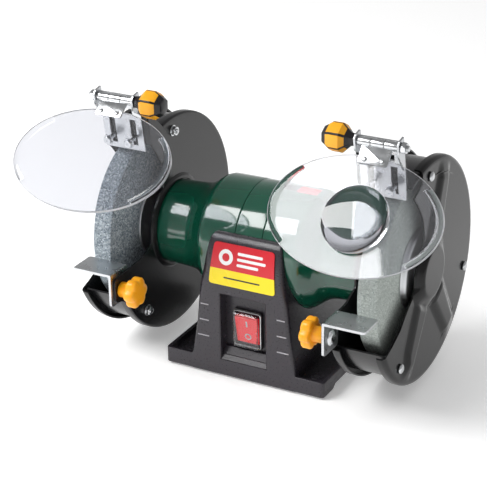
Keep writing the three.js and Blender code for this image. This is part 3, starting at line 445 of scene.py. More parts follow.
# ---------- Motor ----------
MOTOR_R, MOTOR_BORE = 48, 44.3
MOTOR_BAND = eased([(-11.85, MOTOR_BORE), (-11.85, MOTOR_R), (11.85, MOTOR_R), (11.85, MOTOR_BORE)], 0.7)
BELL = eased([(12.15, MOTOR_BORE), (12.15, MOTOR_R), (42.6, MOTOR_R), (48.4, 43.4), (54.5, 38.9),
              (60.5, 36.3), (68, 35.4), (89.5, 34.5), (89.5, 9.5), (83.8, 9.5), (83.8, 17.8), (70, 17.8),
              (70, 30), (55, 32), (46, 42), (40, 44.2)],
             [0.6, 0.7, 3.5, 3.5, 3.5, 3.5, 3.5, 1.4, 0.3, 0.3, 0.3, 0.3, 1, 1, 1, 1], steps=5)
piece("motor_band", [(lathe(MOTOR_BAND), GREEN)], "stand", ["stator_shell"])
for side, sign in SIDES.items():
    piece(f"motor_end_{side}", [(on_side(lathe(BELL, 128), sign), GREEN)], "stand",
          [f"end_bell_{side}"])


def motor_stripe():
    """Blank printed band along the motor's top, a patch of a cylinder 0.15 above it: dark, then red."""
    t = np.radians(np.linspace(84, 97, 8))
    low_r, high_r = MOTOR_R - 0.1, MOTOR_R + 0.15

    def patch(x0, x1):
        return surface(rings([(x0, low_r), (x0, high_r), (x1, high_r), (x1, low_r)], t),
                       wrap_rows=True, caps=True)

    return [(patch(12.8, 24), FILM_DARK), (patch(24, 41), FILM_RED)]


piece("motor_stripe", motor_stripe(), "stand", ())

# ---------- Wheels ----------
WHEEL_IN, WHEEL_OUT, WHEEL_R = 107.6, 123.6, 75
BORE, FLANGE_R = 6.65, 33
GRITS = {"left": (COARSE, "coarse_abrasive"), "right": (FINE, "fine_abrasive")}
WHEEL = eased([(WHEEL_IN, BORE), (WHEEL_IN, WHEEL_R), (WHEEL_OUT, WHEEL_R), (WHEEL_OUT, BORE)],
              [0.2, 1.2, 1.2, 0.2])
INNER_FLANGE = eased([(101.6, BORE), (101.6, 12.5), (105.4, FLANGE_R), (107.3, FLANGE_R), (107.3, 25),
                      (106.3, 24), (106.3, BORE)], [0.2, 1, 0.7, 0.3, 0.3, 0.3, 0.2])
OUTER_FLANGE = eased([(123.9, 25), (123.9, FLANGE_R), (124.4, FLANGE_R), (125, 32.2), (128.2, 31),
                      (128.4, 15), (128.4, BORE), (124.9, BORE), (124.9, 24)],
                     [0.3, 0.2, 0.2, 0.4, 3.2, 1, 0.2, 0.2, 0.3], steps=6)
for side, sign in SIDES.items():
    grit, slot = GRITS[side]
    piece(f"wheel_{side}", [(on_side(lathe(WHEEL, 180), sign), grit)], "rotor",
          [f"grinding_wheel_{side}"])
    clamping = [(lathe(INNER_FLANGE), MACHINED), (lathe(OUTER_FLANGE), MACHINED),
                (nut(128.7, 135.2, 19, 6.6), ZINC_BOLT)]
    piece(f"wheel_clamping_{side}", [(on_side(shell, sign), look) for shell, look in clamping], "rotor",
          [f"inner_flange_{side}", f"outer_flange_{side}", f"spindle_nut_{side}"])

# ---------- Guards ----------
RIM, BAND_IN, BAND_OUT = 91.0, 84.5, 86.0
DISC, DISC_FACE = 89.8, 91.3                 # motor side and wheel side of the inner disc
COVER_FACE, SHEET = 133.9, 1.5
BOSS_R, BOLT_CIRCLE = 31.9, 79.5
BOLTS = {"top": 92, "front": 229, "rear": 340.5}
RIBS = (72.0, 240.0, 304.0)                  # pressed ribs of the cover, degrees from the rear
LEAN = math.radians(10)
ROD = np.array([-50.0, 118.0])               # the shield rod, (y, z)
REST_BOLT = np.array([-90.0, -24.85])


def on_plate(s, n):
    """The bracket's plane: s runs down from the rod, n stands out to the front, both leaning by LEAN."""
    return np.array([ROD[0] + s * math.sin(LEAN) - n * math.cos(LEAN),
                     ROD[1] - s * math.cos(LEAN) - n * math.sin(LEAN)])


def inner_disc():
    """The disc inside its rolled rim: rim arc, lug, hollow round the neck, tab for the tool rest."""
    edge = RIM - 4.5
    by, bz = REST_BOLT
    lug = [polar(edge, 100), np.array([-24, 93.5]), on_plate(11, -7), on_plate(13, -6),
           on_plate(41, -6.9), polar(77.4, 113), polar(54.6, 108)]
    hollow = polar(40.5, np.linspace(116, 188, 10))
    tab = [polar(58.2, 192), (by + 8, bz + 12), (by - 6, bz + 11), (by - 8, bz + 8), (by - 8, bz - 7),
           (by - 5, bz - 10), (by + 6, bz - 12), polar(edge, 206.5)]
    corners = eased(np.array([*lug, *hollow, *tab]), 3, closed=False, steps=3)
    rim = polar(edge, np.linspace(-153.5, 99, 110))
    return prism(np.concatenate([rim, corners[:-1]]), DISC, DISC_FACE)


ROLLED = eased([(DISC_FACE, 86.5), (DISC_FACE, RIM - 1.5), (96.8, RIM - 1.5), (96.8, RIM), (DISC, RIM),
                (DISC, 86.5)], [0.0001, 0.6, 0.5, 0.5, 2.4, 0.0001])
BAND = eased([(91.4, BAND_IN), (132.1, BAND_IN), (132.1, BAND_OUT), (91.4, BAND_OUT)], 0.3)
COLLAR = eased([(DISC - 0.1, 40), (88.2, 37.6), (87.9, 35.4), (DISC + 0.4, 35.4), (DISC + 0.4, 40)], 0.5)
BACK_TAB = np.array([on_plate(16, -5.9), on_plate(16, -7.4), on_plate(41, -8), on_plate(42, -5.9)])


def boss_edge(angle):
    """Edge of the boss: BOSS_R where it runs into the cover, 5.9 less across the front opening."""
    bare = np.clip(np.minimum(angle % 360 - 105, 200 - angle % 360) / 12, 0, 1)
    return BOSS_R - 5.9 * bare ** 2 * (3 - 2 * bare)


def cover_height(r, angle):
    """Outer face of the cover: flat, with a boss over the spindle end whose foot is drawn out to a
    hexagon, and a rib along each of three rays. A rib's section is 3.2 (1 - t^2)^2 over a flat top, t
    being how far a point lies down the flank; it fades out towards the rim and round each bolt."""
    height, flat_half, flank_wide = 3.2, ([30, 85], [6.0, 3.0]), 10.0
    hexagon = BOSS_R - 3.2 * (0.5 + 0.5 * np.cos(np.radians(6 * angle)))
    foot = np.minimum(hexagon, boss_edge(angle) - 0.4)
    base = np.where(r > foot, COVER_FACE, 134.0 + 5.2 * np.clip((foot - r) / (foot - 20.0), 0, 1))
    ribs = np.zeros_like(base)
    for place in RIBS:
        turn = np.radians(angle - place)
        flank = np.clip((np.abs(r * np.sin(turn)) - np.interp(r, *flat_half)) / flank_wide, 0, 1)
        ribs = np.maximum(ribs, height * (1 - flank ** 2) ** 2 * (np.cos(turn) > 0))
    fade = np.clip((r - 24) / 7, 0, 1) * np.clip((87 - r) / 14, 0, 1)
    y, z = r * np.cos(np.radians(angle)), r * np.sin(np.radians(angle))
    for place in BOLTS.values():
        seat = polar(BOLT_CIRCLE, place)
        fade = fade * np.clip((np.hypot(y - seat[0], z - seat[1]) - 5.5) / 9, 0, 1)
    return np.maximum(base, COVER_FACE + ribs * fade)


def cover_shell(r, angle, rim=False):
    """Outer and inner face of the sheet over a grid of radii and angles, with the rolled rim after the
    outer one if asked for."""
    x = cover_height(r, angle)
    y, z = r * np.cos(np.radians(angle)), r * np.sin(np.radians(angle))
    out, back = np.stack([x, y, z], -1), np.stack([x - SHEET, y, z], -1)
    if rim:
        roll = [(0.25, 88.6), (1.1, 90), (2.4, 90.8), (3.6, RIM), (7, RIM), (7, 89.5), (3.8, 89.5),
                (2.4, 88.6), (1.6, 87.4)]
        curl = rings([(COVER_FACE - below, q) for below, q in roll], np.radians(angle[-1]))
        out = np.concatenate([out, curl])
    return out, back


def guard_cover():
    """Boss as a full turn, and the rest between the two edges of the front opening."""
    r = np.linspace(BOSS_R, 87, 64)
    low_edge = np.interp(r, [BOSS_R, 42.8, 59.2, 78.3, RIM], [200, 203, 208, 207, 205.5])
    high_edge = np.interp(r, [BOSS_R, 49.1, 77.35, 78.3, RIM], [105, 105, 114, 102.5, 101]) + 360
    s = np.linspace(0, 1, 300)
    angle = low_edge[:, None] + (high_edge - low_edge)[:, None] * s
    out, back = cover_shell(np.broadcast_to(r[:, None], angle.shape), angle, rim=True)
    sheet = surface(np.concatenate([out, back[::-1]]), wrap_rows=True, caps=True)
    turn = np.broadcast_to(np.arange(0, 360, 3.0), (24, 120))
    radius = np.linspace(0, 1, 24)[:, None] * boss_edge(turn)
    out, back = cover_shell(radius, turn)
    boss = surface(np.concatenate([out, back[::-1]]), wrap_cols=True)
    return [sheet, boss]


def guard_bolt(place):
    """Pan head outside, hexagon nut, washer and the bolt's end on the motor side."""
    head = lathe(eased([(134.2, 0), (134.2, 3.9), (135.6, 3.9), (136.6, 2.4), (136.7, 0)], 0.6,
                       closed=False), 40, ring=False)
    stem = lathe([(84.4, 0), (84.8, 1.6), (85, 2), (134.3, 2), (134.3, 0)], 24, ring=False)
    washer = lathe(eased([(89, 2.2), (89.5, 2.2), (89.5, 4.6), (89, 4.6)], 0.2), 40)
    hexagon = nut(85.9, 88.9, 7, 2.05)
    y, z = polar(BOLT_CIRCLE, place)
    return [moved(shell, 0, y, z) for shell in (head, stem, washer, hexagon)]


for side, sign in SIDES.items():
    guard = [inner_disc(), swept(ROLLED, -153.5, 101), swept(BAND, -152.5, 112), lathe(COLLAR, 96),
             prism(BACK_TAB, DISC, 130, "x", 0.2)]
    piece(f"guard_{side}", [(on_side(shell, sign), BLACK_STEEL) for shell in guard], "stand",
          [f"inner_guard_{side}"], smooth=32)
    piece(f"cover_{side}", [(on_side(shell, sign), BLACK_GLOSS) for shell in guard_cover()], "stand",
          [f"guard_cover_{side}"], smooth=60)
    piece(f"guard_bolts_{side}", [(on_side(shell, sign), ZINC_BOLT) for place in BOLTS.values()
                                  for shell in guard_bolt(place)],
          "stand", [f"guard_bolt_{place}_{side}" for place in BOLTS])


# ---------- Tool rests ----------
def tool_rest():
    """Table, rolled bend and slotted leg of one steel sheet 2 thick."""
    front, back, top, x, thick = -101.5, -77, -8.85, 91.6, 2
    start, low, bottom = x + 2.9, top - thick, -36.85
    table = prism(eased([(start, front), (126.4, front), (126.4, back), (start, back)],
                        [0.01, 2.5, 2.5, 0.01]), low, top, "z")
    bend = eased([(start, top), (x, top), (x, -14), (x + thick, -14), (x + thick, low), (start, low)],
                 [0.001, 2.4, 0.001, 0.001, 0.5, 0.001], steps=6)
    leg = eased([(front, -14), (back, -14), (back, bottom), (front, bottom)], [0.01, 0.01, 3.5, 3.5])
    slot = rectangle(-93.5, -80.5, -28.15, -21.55, 3.2)
    middle = np.array([-87.0, REST_BOLT[1]])
    return [table, prism(bend, front, back, "y"), holed(leg, slot, middle, x, x + thick, "x")]


def star_knob():
    """Six rounded lobes, r = 12.4 (0.83 + 0.17 (0.5 + 0.5 cos 6t)^0.6), domed on its face, with a
    sleeve."""
    t = full_turn(144)
    lobes = 12.4 * (0.83 + 0.17 * (0.5 + 0.5 * np.cos(6 * t)) ** 0.6)
    head = [(71.3, 0.0), (71.3, 0.5), (71.8, 0.8), (72.6, 0.93), (73.8, 1.0), (79.2, 1.0), (80.1, 0.96),
            (80.5, 0.88)]
    sleeve = [(80.5, 6.6), (82, 6.2), (88.9, 6.2), (89.5, 5.6), (89.5, 3.3), (78.5, 3.3), (78.5, 0)]
    return surface(np.concatenate([rings(head, t, lobes), rings(sleeve, t)]), wrap_cols=True)


CARRIAGE_BOLT = lathe(eased([(78.2, 0), (78.2, 3), (93.9, 3), (93.9, 6.6), (94.8, 6.4), (96.3, 4),
                             (96.7, 0)], [0, 0.2, 0.1, 0.2, 0.6, 1.2, 0], closed=False), 40, ring=False)
for side, sign in SIDES.items():
    y, z = REST_BOLT
    piece(f"rest_{side}", [(on_side(shell, sign), ZINC) for shell in tool_rest()], f"rest_{side}",
          [f"tool_rest_{side}"])
    piece(f"rest_fixing_{side}", [(on_side(moved(CARRIAGE_BOLT, 0, y, z), sign), ZINC_BOLT)], "stand",
          [f"rest_bolt_{side}"])
    piece(f"rest_star_knob_{side}", [(on_side(moved(star_knob(), 0, y, z), sign), ORANGE)],
          f"knob_{side}", [f"rest_knob_{side}"], smooth=50)

# ---------- Eye shields ----------
PLATE_X = 111.85
TILT = {"left": 53, "right": 40}             # degrees that each shield hangs forward
OVAL_A, OVAL_B, OVAL_DROP = 68.3, 46.2, 56.2


def hung(shell, sign, side):
    """Drawn hanging from the rod at the origin, tilted forward, then put on the rod."""
    points, faces = turned(shell, "X", -TILT[side])
    return points + np.array([sign * PLATE_X, *ROD]), faces


def ovals(offset, rows):
    """The shield's outline (a cos t, b sin t), k times its size, at each (k, y)."""
    t = full_turn(160)
    return np.stack([np.stack([offset + k * OVAL_A * np.cos(t), np.full_like(t, y),
                               -OVAL_DROP + k * OVAL_B * np.sin(t)], -1) for k, y in rows])


def oval(offset):
    """Clear sheet 3 thick, its edge finely rounded."""
    rows = [(0.0, 0.4), (0.5, 0.4), (0.9, 0.4), (0.994, 0.4), (1.0, 0.8), (1.0, 3.0), (0.994, 3.4),
            (0.9, 3.4), (0.5, 3.4), (0.0, 3.4)]
    return surface(ovals(offset, rows), wrap_cols=True)


def oval_rim(offset):
    """Frosted cut edge, a thin hoop just inside the sheet's outline, near-white as its own colour and as
    a painted highlight.
    """
    return surface(ovals(offset, [(0.9935, 0.7), (0.9985, 0.9), (0.9985, 2.9), (0.9935, 3.1)]),
                   wrap_rows=True, wrap_cols=True)


def hinge_clip():
    """Split sleeve round the rod and a short riveted tongue over the shield's top edge."""
    sleeve = [lathe(eased([(x0, 2.7), (x0, 3.6), (x1, 3.6), (x1, 2.7)], 0.25), 48)
              for x0, x1 in ((-16.1, -5.6), (-5.1, 5.1), (5.6, 16.1))]
    tongue = prism(eased([(-12, -17), (12, -17), (12, -2.8), (-12, -2.8)], [2.5, 2.5, 0.5, 0.5]),
                   -1.1, 0.1, "y", 0.2)
    rivet = lathe(eased([(-2.1, 0), (-2.1, 1), (-1.5, 2.2), (-1, 2.3), (-1, 0)], 0.3, closed=False), 24,
                  ring=False, axis="y")
    return [*sleeve, tongue, moved(rivet, -7, 0, -13.6), moved(rivet, 7, 0, -13.6)]


def lens():
    """Flat-backed magnifier, front y = -2.0 - 4.1 (1 - (r / 26)^2) over a thin rim."""
    front = [(-2.0 - 4.1 * (1 - q ** 2), 26 * q) for q in np.linspace(0, 1, 24)]
    profile = front + [(-1.7, 26.0), (-1.4, 25.7), (-1.4, 13), (-1.4, 0)]
    return moved(lathe(profile, 128, ring=False, axis="y"), 0, 0, -59.2)


def threaded_rod():
    """Plain rod, its outer end cut with a 0.8 thread, drawn as rings r = 2.1 and 2.4 in turn."""
    thread = [(x, 2.4 if i % 2 else 2.1) for i, x in enumerate(np.arange(130, 135.6, 0.4))]
    return lathe([(81.1, 0), (81.1, 2.4), (129.6, 2.4), *thread, (136, 2.1), (136.15, 1.6), (136.15, 0)],
                 32, ring=False)


def six_sided(rows):
    """Hexagonal barrel of (x, corner radius) rows, r = R cos 30 / cos(angle from the nearest flat), its
    corners cut off at 0.975 R."""
    t = full_turn(72)
    hexagon = np.minimum(math.cos(math.pi / 6) / np.cos(from_flat(t)), 0.975)
    return surface(rings(rows, t, hexagon), wrap_cols=True)


def inlay(turn):
    """Orange panel let into one flat of the barrel: 2 narrower than the flat, standing 0.28 proud."""
    grid = []
    for x, r in ((72.6, 9.6), (75.9, 11.8), (83.7, 11.8), (87.2, 8.2)):
        flat, half = r * math.cos(math.pi / 6), 0.5 * r - 1.0
        grid.append([(x, flat - 0.5, -half), (x, flat + 0.2, -half), (x, flat + 0.28, -half + 0.4),
                     (x, flat + 0.28, half - 0.4), (x, flat + 0.2, half), (x, flat - 0.5, half)])
    return turned(surface(np.array(grid), wrap_cols=True, caps=True), "X", turn)


def clamp_handle():
    core = six_sided([(68.1, 0), (68.1, 5.2), (68.6, 6.8), (69.6, 7.6), (72.1, 9.2), (75.7, 11.8),
                      (83.9, 11.8), (89.3, 6.3), (90.2, 5.6), (93.2, 5.0), (93.55, 4.6), (93.55, 2.8),
                      (80, 2.8), (80, 0)])
    return [(core, BLACK_NYLON)] + [(inlay(60 * i), ORANGE) for i in range(6)]


def plate_screw(offset):
    """Washer-faced hexagon screw that clamps the bracket, standing square on its leaning plate."""
    washer = eased([(4.0, 0), (4.0, 4.2), (4.6, 4.2), (4.9, 3.6), (4.9, 0)], 0.15, closed=False)
    screw = [lathe(washer, 40, ring=False), nut(4.8, 7.3, 6.2, 0.6, 48),
             lathe([(-6.4, 0), (-6.4, 2), (7.0, 2), (7.0, 0)], 24, ring=False)]
    y, z = on_plate(36.5, 0)
    return [moved(turned(turned(shell, "Z", -90), "X", 10), offset, y, z) for shell in screw]


for side, sign in SIDES.items():
    # The pale hoop is the frosted edge with a painted highlight over it.
    sheet = [(oval(-3 * sign), CLEAR), (oval_rim(-3 * sign), CUT_EDGE_AND_HIGHLIGHT)]
    piece(f"visor_{side}", [(hung(shell, sign, side), look) for shell, look in sheet],
          f"shield_{side}", [f"eye_shield_{side}"], smooth=50)
    piece(f"visor_hinge_{side}", [(hung(shell, sign, side), ZINC_BOLT) for shell in hinge_clip()],
          f"shield_{side}", [f"shield_clip_{side}"])
    y, z = ROD
    bar = [threaded_rod(), nut(130.15, 134.15, 8, 2.3)]
    piece(f"visor_rod_{side}", [(on_side(moved(shell, 0, y, z), sign), ZINC_BOLT) for shell in bar],
          f"clamp_{side}", [f"shield_rod_{side}"])
    piece(f"visor_handle_{side}", [(on_side(moved(shell, 0, y, z), sign), look)
                                   for shell, look in clamp_handle()],
          f"clamp_{side}", [f"shield_handle_{side}"], smooth=30)
    screws = plate_screw(PLATE_X - 9.5) + plate_screw(PLATE_X + 9.5)
    piece(f"bracket_screws_{side}", [(on_side(shell, sign), ZINC_BOLT) for shell in screws], "stand", ())

piece("magnifier", [(hung(lens(), 1, "right"), GLASS)], "shield_right", ["magnifier_lens"],
      smooth=50)

# ---------- Pedestal, drawn from the bench up ----------
FOOT_LOW, FOOT_TOP, TRAY_IN, FOOT_HALF, FOOT_CORNER = 1.5, 14.7, 46.5, 71.2, 3
TOP, BEND = 122.56, 80.8
TOWER = ([FOOT_TOP, 45.06, 73.73, 91.14, TOP], [TRAY_IN, 42, 39.5, 36.4, 30.5])   # heights, half widths
SADDLE = 48.3
FRONT = 55.0
RECESS_X, RECESS_HIGH, RECESS_DEEP = 20.3, 73.2, 11.0
SCREW = np.array([56.5, 37.2])               # the bench screw's hole, (x, y)


def tower_front(z):
    """Distance of the front face from the spindle's plane: 55, less 9 t^2 above the bend."""
    t = np.clip((z - BEND) / (TOP - BEND), 0, 1)
    return FRONT - 9 * t ** 2


def tower_half(notched):
    """Front half of the pedestal as level sections: half width and corner radius vary with height, the
    back edge follows the motor's cylinder, and a notch makes the switch recess with its sloping sill."""
    cylinder = AXIS_Z - SADDLE * np.cos(np.radians(np.arange(0, 115, 4.0)))
    fixed = [FOOT_LOW, 14.69, 14.71, 15.6, 17.5, 20, 27, 34, 41, 45.06, 50, 60, 73.73, BEND, 86, 91.14,
             97, 103, 109, 115, 116.1, 117.6, 119, 120.2, 121.2, 121.9, 122.3, TOP]
    depth = {FOOT_LOW: 0, 15.0: 0, 15.01: 1.0, 18.4: 3.6, 18.6: 4.4, 24.0: 8.2, 24.01: RECESS_DEEP,
             RECESS_HIGH: RECESS_DEEP, RECESS_HIGH + 0.01: 0.8, RECESS_HIGH + 0.7: 0}
    levels = np.unique(np.concatenate([cylinder[cylinder < TOP], fixed, list(depth)]))
    notch = np.interp(levels, list(depth), list(depth.values())) if notched else np.zeros_like(levels)
    rise = np.clip((levels - TOP + 6.5) / 6.5, 0, 1)
    shrink = 5.5 * (1 - np.sqrt(1 - 0.98 * rise ** 2))
    half = np.interp(levels, *TOWER) - shrink
    half[levels < FOOT_TOP] = TRAY_IN
    front = tower_front(levels) - shrink
    back = np.sqrt(np.clip(SADDLE ** 2 - (levels - AXIS_Z) ** 2, 0, None))
    back = np.where(levels < AXIS_Z - SADDLE, 0, back) + 0.15 * shrink
    corner = np.interp(levels, [FOOT_TOP, 18, 80, 122], [0.02, 2.2, 4.2, 5.5])
    corner = np.minimum(corner, 0.75 * (front - back))
    s = np.linspace(0, np.pi / 2, 8)
    wall = np.full_like(half, -RECESS_X)
    left = [(-half, -back)]
    left += [(-half + corner * (1 - np.cos(a)), -front + corner * (1 - np.sin(a))) for a in s]
    left += [(wall - 0.8, -front), (wall, -front + np.minimum(notch, 0.8)), (wall, -front + notch)]
    line = left + [(-x, y) for x, y in left[::-1]]
    grid = np.stack([np.stack([x, y, levels], -1) for x, y in line], 1)
    return surface(grid, wrap_cols=True, caps=True)


def tray():
    """Wall of the foot round one tray: a rounded section carried along the outline, arched below."""
    bend = np.radians(np.linspace(-90, 0, 7))
    corner = np.stack([FOOT_HALF - FOOT_CORNER + FOOT_CORNER * np.cos(bend),
                       -FRONT + FOOT_CORNER + FOOT_CORNER * np.sin(bend)], -1)
    side_y = np.array([-40.0, -37, -33, -20, 0, 20, 33, 37, 40])
    path = np.concatenate([[(TRAY_IN, -FRONT)], corner,
                           np.stack([np.full_like(side_y, FOOT_HALF), side_y], -1),
                           corner[::-1] * (1, -1), [(TRAY_IN, FRONT)]])
    normal = np.concatenate([[(0, 1)], np.stack([-np.cos(bend), -np.sin(bend)], -1),
                             np.broadcast_to((-1.0, 0.0), (len(side_y), 2)),
                             np.stack([-np.cos(bend), np.sin(bend)], -1)[::-1], [(0, -1)]])
    section = eased([(0, FOOT_LOW), (0, FOOT_TOP), (3, FOOT_TOP), (3, FOOT_LOW)], [0.5, 0.8, 0.8, 0.3])
    lift = np.where(path[:, 0] > 71, np.interp(np.abs(path[:, 1]), [33, 37], [3.4, 0]), 0)
    xy = path[:, None] + normal[:, None] * section[None, :, :1]
    z = np.maximum(section[None, :, 1], FOOT_LOW + lift[:, None])
    return surface(np.concatenate([xy, z[..., None]], -1).transpose(1, 0, 2), wrap_rows=True, caps=True)


def tray_floor(sign_y):
    """Half of one tray's floor, with the 6 mm hole for the bench screw and a boss round it below."""
    centre = SCREW * (1, sign_y)
    outer = rectangle(44.0, 68.6, *sorted((0.0, sign_y * 52.4)))
    hole = polar(3.0, np.arange(0, 360, 10.0)) + centre
    boss = lathe(eased([(9.4, 3.0), (10.1, 3.0), (10.1, 5.6), (9.4, 6.0)], 0.2), 48, axis="z")
    return [holed(outer, hole, centre, 6.5, 9.5, "z"), moved(boss, *centre)]


def pedestal():
    front = tower_half(True)
    rear = tower_half(False)
    rear = (rear[0] * np.array([1.0, -1.0, 1.0]), rear[1])
    shells = [(front, ABS), (rear, ABS)]
    for sign in SIDES.values():
        for shell in [tray(), *tray_floor(-1), *tray_floor(1)]:
            shells.append((on_side(shell, sign), ABS))
        # Ridges in pale ABS: their colour is a painted highlight along their edges.
        for height in (61.5, 47.5, 33.5):
            half = float(np.interp(height, *TOWER))
            ridge = eased([(-55.25, height - 0.45), (-55.25, height + 0.45), (-54.6, height + 0.5),
                           (-54.6, height - 0.5)], 0.15)
            shells.append((on_side(prism(ridge, 30.5, half - 3.0, "x"), sign), ABS_RIDGE_PAINTED_HIGHLIGHT))
    return shells


piece("pedestal", pedestal(), "stand", ["base_housing"], smooth=30, origin=FOOT)


def badge_point(x, z, lift):
    """A point lifted off the pedestal's curved front."""
    return np.stack([x, -tower_front(z) - lift, z], -1)


def badge_patch(outline, rows, lift, base=0.3):
    """An outline closed towards its middle in rings, (1 - k) centre + k edge, laid on the curved
    front."""
    centre = outline.mean(0)
    rings_in = [centre + k * (outline - centre) for k in np.linspace(0, 1, rows)]
    top = [badge_point(ring[:, 0], ring[:, 1], lift) for ring in rings_in]
    under = [badge_point(ring[:, 0], ring[:, 1], base) for ring in rings_in[::-1]]
    return surface(np.stack(top + under), wrap_cols=True)


def densed(outline):
    """More points along the straight sides, about 1.2 apart."""
    ends = np.roll(outline, -1, 0)
    counts = np.maximum(1, (np.linalg.norm(ends - outline, axis=1) / 1.2).astype(int))
    return np.concatenate([a + (b - a) * np.arange(n)[:, None] / n
                           for a, b, n in zip(outline, ends, counts)])


def name_plate():
    """Plate in red over yellow, without words: one ring, three bars and a dark rule."""
    low_z, high_z, split = 82.0, 115.8, 95.4

    def field(z0, z1, reach):
        """The plate between two heights, its half width 29.3 at the foot and 26.5 at the top."""
        lower, upper = (29.3 - 2.8 * (z - low_z) / (high_z - low_z) for z in (z0, z1))
        return densed(eased([(-lower, z0), (lower, z0), (upper, z1), (-upper, z1)], reach))

    t = np.linspace(0, 2 * np.pi, 48, endpoint=False)
    ring = [badge_point(-15 + r * np.cos(t), 105.2 + r * np.sin(t), lift)
            for r, lift in ((6.2, 0.6), (6.2, 1.0), (3.2, 1.0), (3.2, 0.6))]
    bars = [densed(rectangle(-5, x, z - 1.1, z + 1.1, 0.6, 2))
            for x, z in ((17, 109.6), (20, 105.2), (14, 100.8))]
    rule = densed(rectangle(-16, 16, 88.2, 89.4, 0.4, 2))
    return [(badge_patch(field(split, high_z, [0.02, 0.02, 3, 3]), 16, 0.9), FILM_RED),
            (badge_patch(field(low_z, split, [3, 3, 0.02, 0.02]), 8, 0.9), FILM_YELLOW),
            (surface(np.stack(ring), wrap_rows=True, wrap_cols=True), FILM_WHITE),
            *[(badge_patch(bar, 3, 1.0, 0.6), FILM_WHITE) for bar in bars],
            (badge_patch(rule, 3, 1.0, 0.6), FILM_DARK)]


piece("badge", name_plate(), "stand", ["name_plate"], smooth=30, origin=FOOT)

# ---------- Switch ----------
SWITCH_Z = 42.5


def switch_frame():
    """Bezel with a stepped inner edge, and the body behind it."""
    outer = rectangle(-13, 13, SWITCH_Z - 16.5, SWITCH_Z + 16.5, 2)
    body = rectangle(-11, 11, SWITCH_Z - 14.5, SWITCH_Z + 14.5, 0.5)
    hole = rectangle(-10.3, 10.3, SWITCH_Z - 14, SWITCH_Z + 14, 0.8)
    centre = np.array([0.0, SWITCH_Z])
    return [holed(outer, hole, centre, -46.8, -44.3, "y", 120),
            holed(body, hole * (0.97, 1), centre, -44.4, -30, "y", 120)]


def rocker():
    """Rocker profile tipped 11 degrees, with a bar and a ring moulded on its two wings."""
    side = eased([(-4.4, 12.2), (-3.1, 0), (-4.4, -12.2), (0, -10.7), (5, -5), (5, 5), (0, 10.7)],
                 [0.6, 8, 0.6, 0.6, 1, 1, 0.6], steps=6)
    bar = moved(prism(rectangle(-0.7, 0.7, -2.8, 2.8, 0.3), -4.15, -3.6, "y"), 0, 0, 6.2)
    ring = moved(lathe([(-4.15, 2.9), (-4.15, 1.9), (-3.6, 1.9), (-3.6, 2.9)], 40, axis="y"), 0, 0, -6.2)
    # The rocker's red carries a painted glow from its emission.
    parts = [(prism(side, -10, 10, "x", 0.4), RED_ROCKER_PAINTED_GLOW), (bar, FILM_WHITE), (ring, FILM_WHITE)]
    return [(moved(turned(shell, "X", 11), 0, -42.8, SWITCH_Z), look) for shell, look in parts]


def splash_cover():
    """Thin clear box, its sides drawn in towards the front: (y, inset) rings from the middle of the
    outer face, round the open rim and back to the middle of the inner face."""
    base = rectangle(-12, 12, SWITCH_Z - 15.5, SWITCH_Z + 15.5, 2, 5)
    levels = [(-51.6, 1.9), (-51.6, 1.7), (-50.6, 0.6), (-47.1, 0.001), (-47.1, 0.9), (-50.2, 1.5),
              (-50.7, 1.9)]
    rows = [across(inset(base, by), y, "y") for y, by in levels]
    outer, inner = (np.broadcast_to(np.array([0.0, y, SWITCH_Z]), rows[0].shape) for y in (-51.6, -50.7))
    return surface(np.stack([outer, *rows, inner]), wrap_cols=True)


piece("switch_frame", [(shell, BLACK_NYLON) for shell in switch_frame()], "stand", ["switch_housing"],
      origin=FOOT)
piece("switch_key", rocker(), "rocker", ["switch_rocker"], origin=FOOT)
piece("switch_splash_cover", [(splash_cover(), OPTICAL)], "stand", ["switch_cover"],
      smooth=25, origin=FOOT)

# ---------- Underside and rear ----------
FEET = {"front_left": (-1, -1), "front_right": (1, -1), "rear_left": (-1, 1), "rear_right": (1, 1)}
pad = lathe(eased([(0, 0), (0, 6.8), (1.1, 8), (4.4, 8), (4.4, 0)], [0, 0.6, 0.6, 0.3, 0],
                  closed=False), 48, ring=False, axis="z")
piece("rubber_feet", [(moved(pad, 58.2 * sx, 19 * sy), RUBBER) for sx, sy in FEET.values()],
      "stand", [f"rubber_foot_{place}" for place in FEET], origin=FOOT)
gland = lathe(eased([(-7, 3.2), (-7, 6), (0.3, 6), (0.3, 8.5), (3, 8.5), (4.2, 6.6), (5, 6.6),
                     (5.6, 5.8), (6.4, 5.8), (7, 5.0), (8, 5.0), (8, 3.2)], 0.3), 48, axis="y")
piece("cord_entry", [(moved(gland, 0, FRONT, 30), RUBBER)], "stand", ["cord_gland"],
      origin=FOOT)

# ---------- Floor, light and camera ----------
scene = bpy.context.scene
scene.view_settings.view_transform = "Standard"
world = bpy.data.worlds.new("studio")
scene.world = world
world.use_nodes = True
sky = world.node_tree
height = node(sky, "ShaderNodeSeparateXYZ", "Z", Vector=node(sky, "ShaderNodeTexCoord", "Generated"))
fill(sky, sky.nodes["Background"], {"Color": (1.0, 1.0, 1.0, 1.0), "Strength": node(
    sky, "ShaderNodeMapRange", Value=height, From_Min=0.0, From_Max=0.7, To_Min=0.55, To_Max=0.3)})

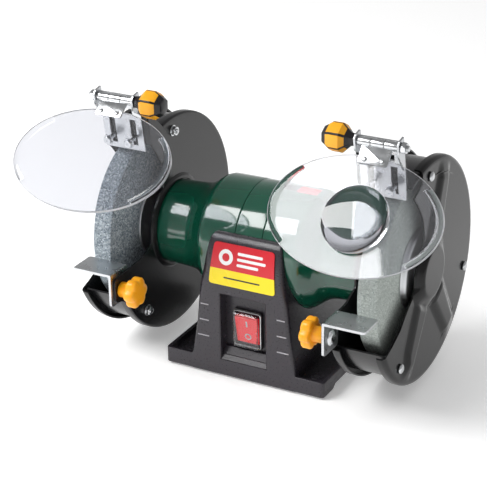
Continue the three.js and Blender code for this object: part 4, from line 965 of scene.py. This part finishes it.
paper, tree, shader, where = finish("seamless white paper", "#ffffff", 0.9, Specular_IOR_Level=0.1,
                                     Emission_Color=linear("#ffffff"), Emission_Strength=0.25)
fibres = node(tree, "ShaderNodeTexNoise", "Fac", Vector=where, Scale=PER_METRE / 3, Detail=2.0)
fill(tree, shader, {"Normal": node(tree, "ShaderNodeBump", Height=fibres, Distance=0.01 * MM)})
FLOOR_Z = -0.0005
floor_mesh = bpy.data.meshes.new("floor")
floor_mesh.from_pydata([(x, y, FLOOR_Z) for x, y in rectangle(-30, 30, -30, 30).tolist()], [],
                       [(0, 1, 2, 3)])
floor_mesh.materials.append(paper)
floor = bpy.data.objects.new("floor", floor_mesh)
scene.collection.objects.link(floor)


def softbox(name, place, target, width, depth, radiance):
    """Rectangular light facing a point; its power is radiance x pi x area."""
    light = bpy.data.lights.new(name, "AREA")
    light.shape, light.size, light.size_y = "RECTANGLE", width, depth
    light.energy = radiance * math.pi * width * depth
    obj = bpy.data.objects.new(name, light)
    obj.location = place
    obj.rotation_euler = (Vector(target) - Vector(place)).to_track_quat("-Z", "Y").to_euler()
    scene.collection.objects.link(obj)
    return obj


softbox("key", (-1.23, -0.90, 1.35), (-1.23, -0.8999, 0), 1.58, 0.94, 10.0)
wash = softbox("wash", (0, 0.2, 2.2), (0, 0.2001, 0), 4.0, 4.0, 0.35)
wash.visible_glossy = False                  # lights the paper evenly without showing in the gloss

az, el, roll = (math.radians(a) for a in (28.5, 24.2, -0.84))
back = np.array([math.sin(az) * math.cos(el), -math.cos(az) * math.cos(el), math.sin(el)])
right = np.cross(-back, (0, 0, 1))
right /= np.linalg.norm(right)
up = np.cross(right, -back)
side_axis = right * math.cos(roll) + up * math.sin(roll)
up_axis = -right * math.sin(roll) + up * math.cos(roll)
eye = AXIS + np.array([579.887, -1119.297, 563.2]) * MM
lens_data = bpy.data.cameras.new("camera")
lens_data.sensor_width = 36
lens_data.lens = 127.02
lens_data.clip_end = 100
camera = bpy.data.objects.new("camera", lens_data)
camera.matrix_world = Matrix([*np.stack([side_axis, up_axis, back, eye], 1).tolist(), [0, 0, 0, 1]])
scene.collection.objects.link(camera)
scene.camera = camera
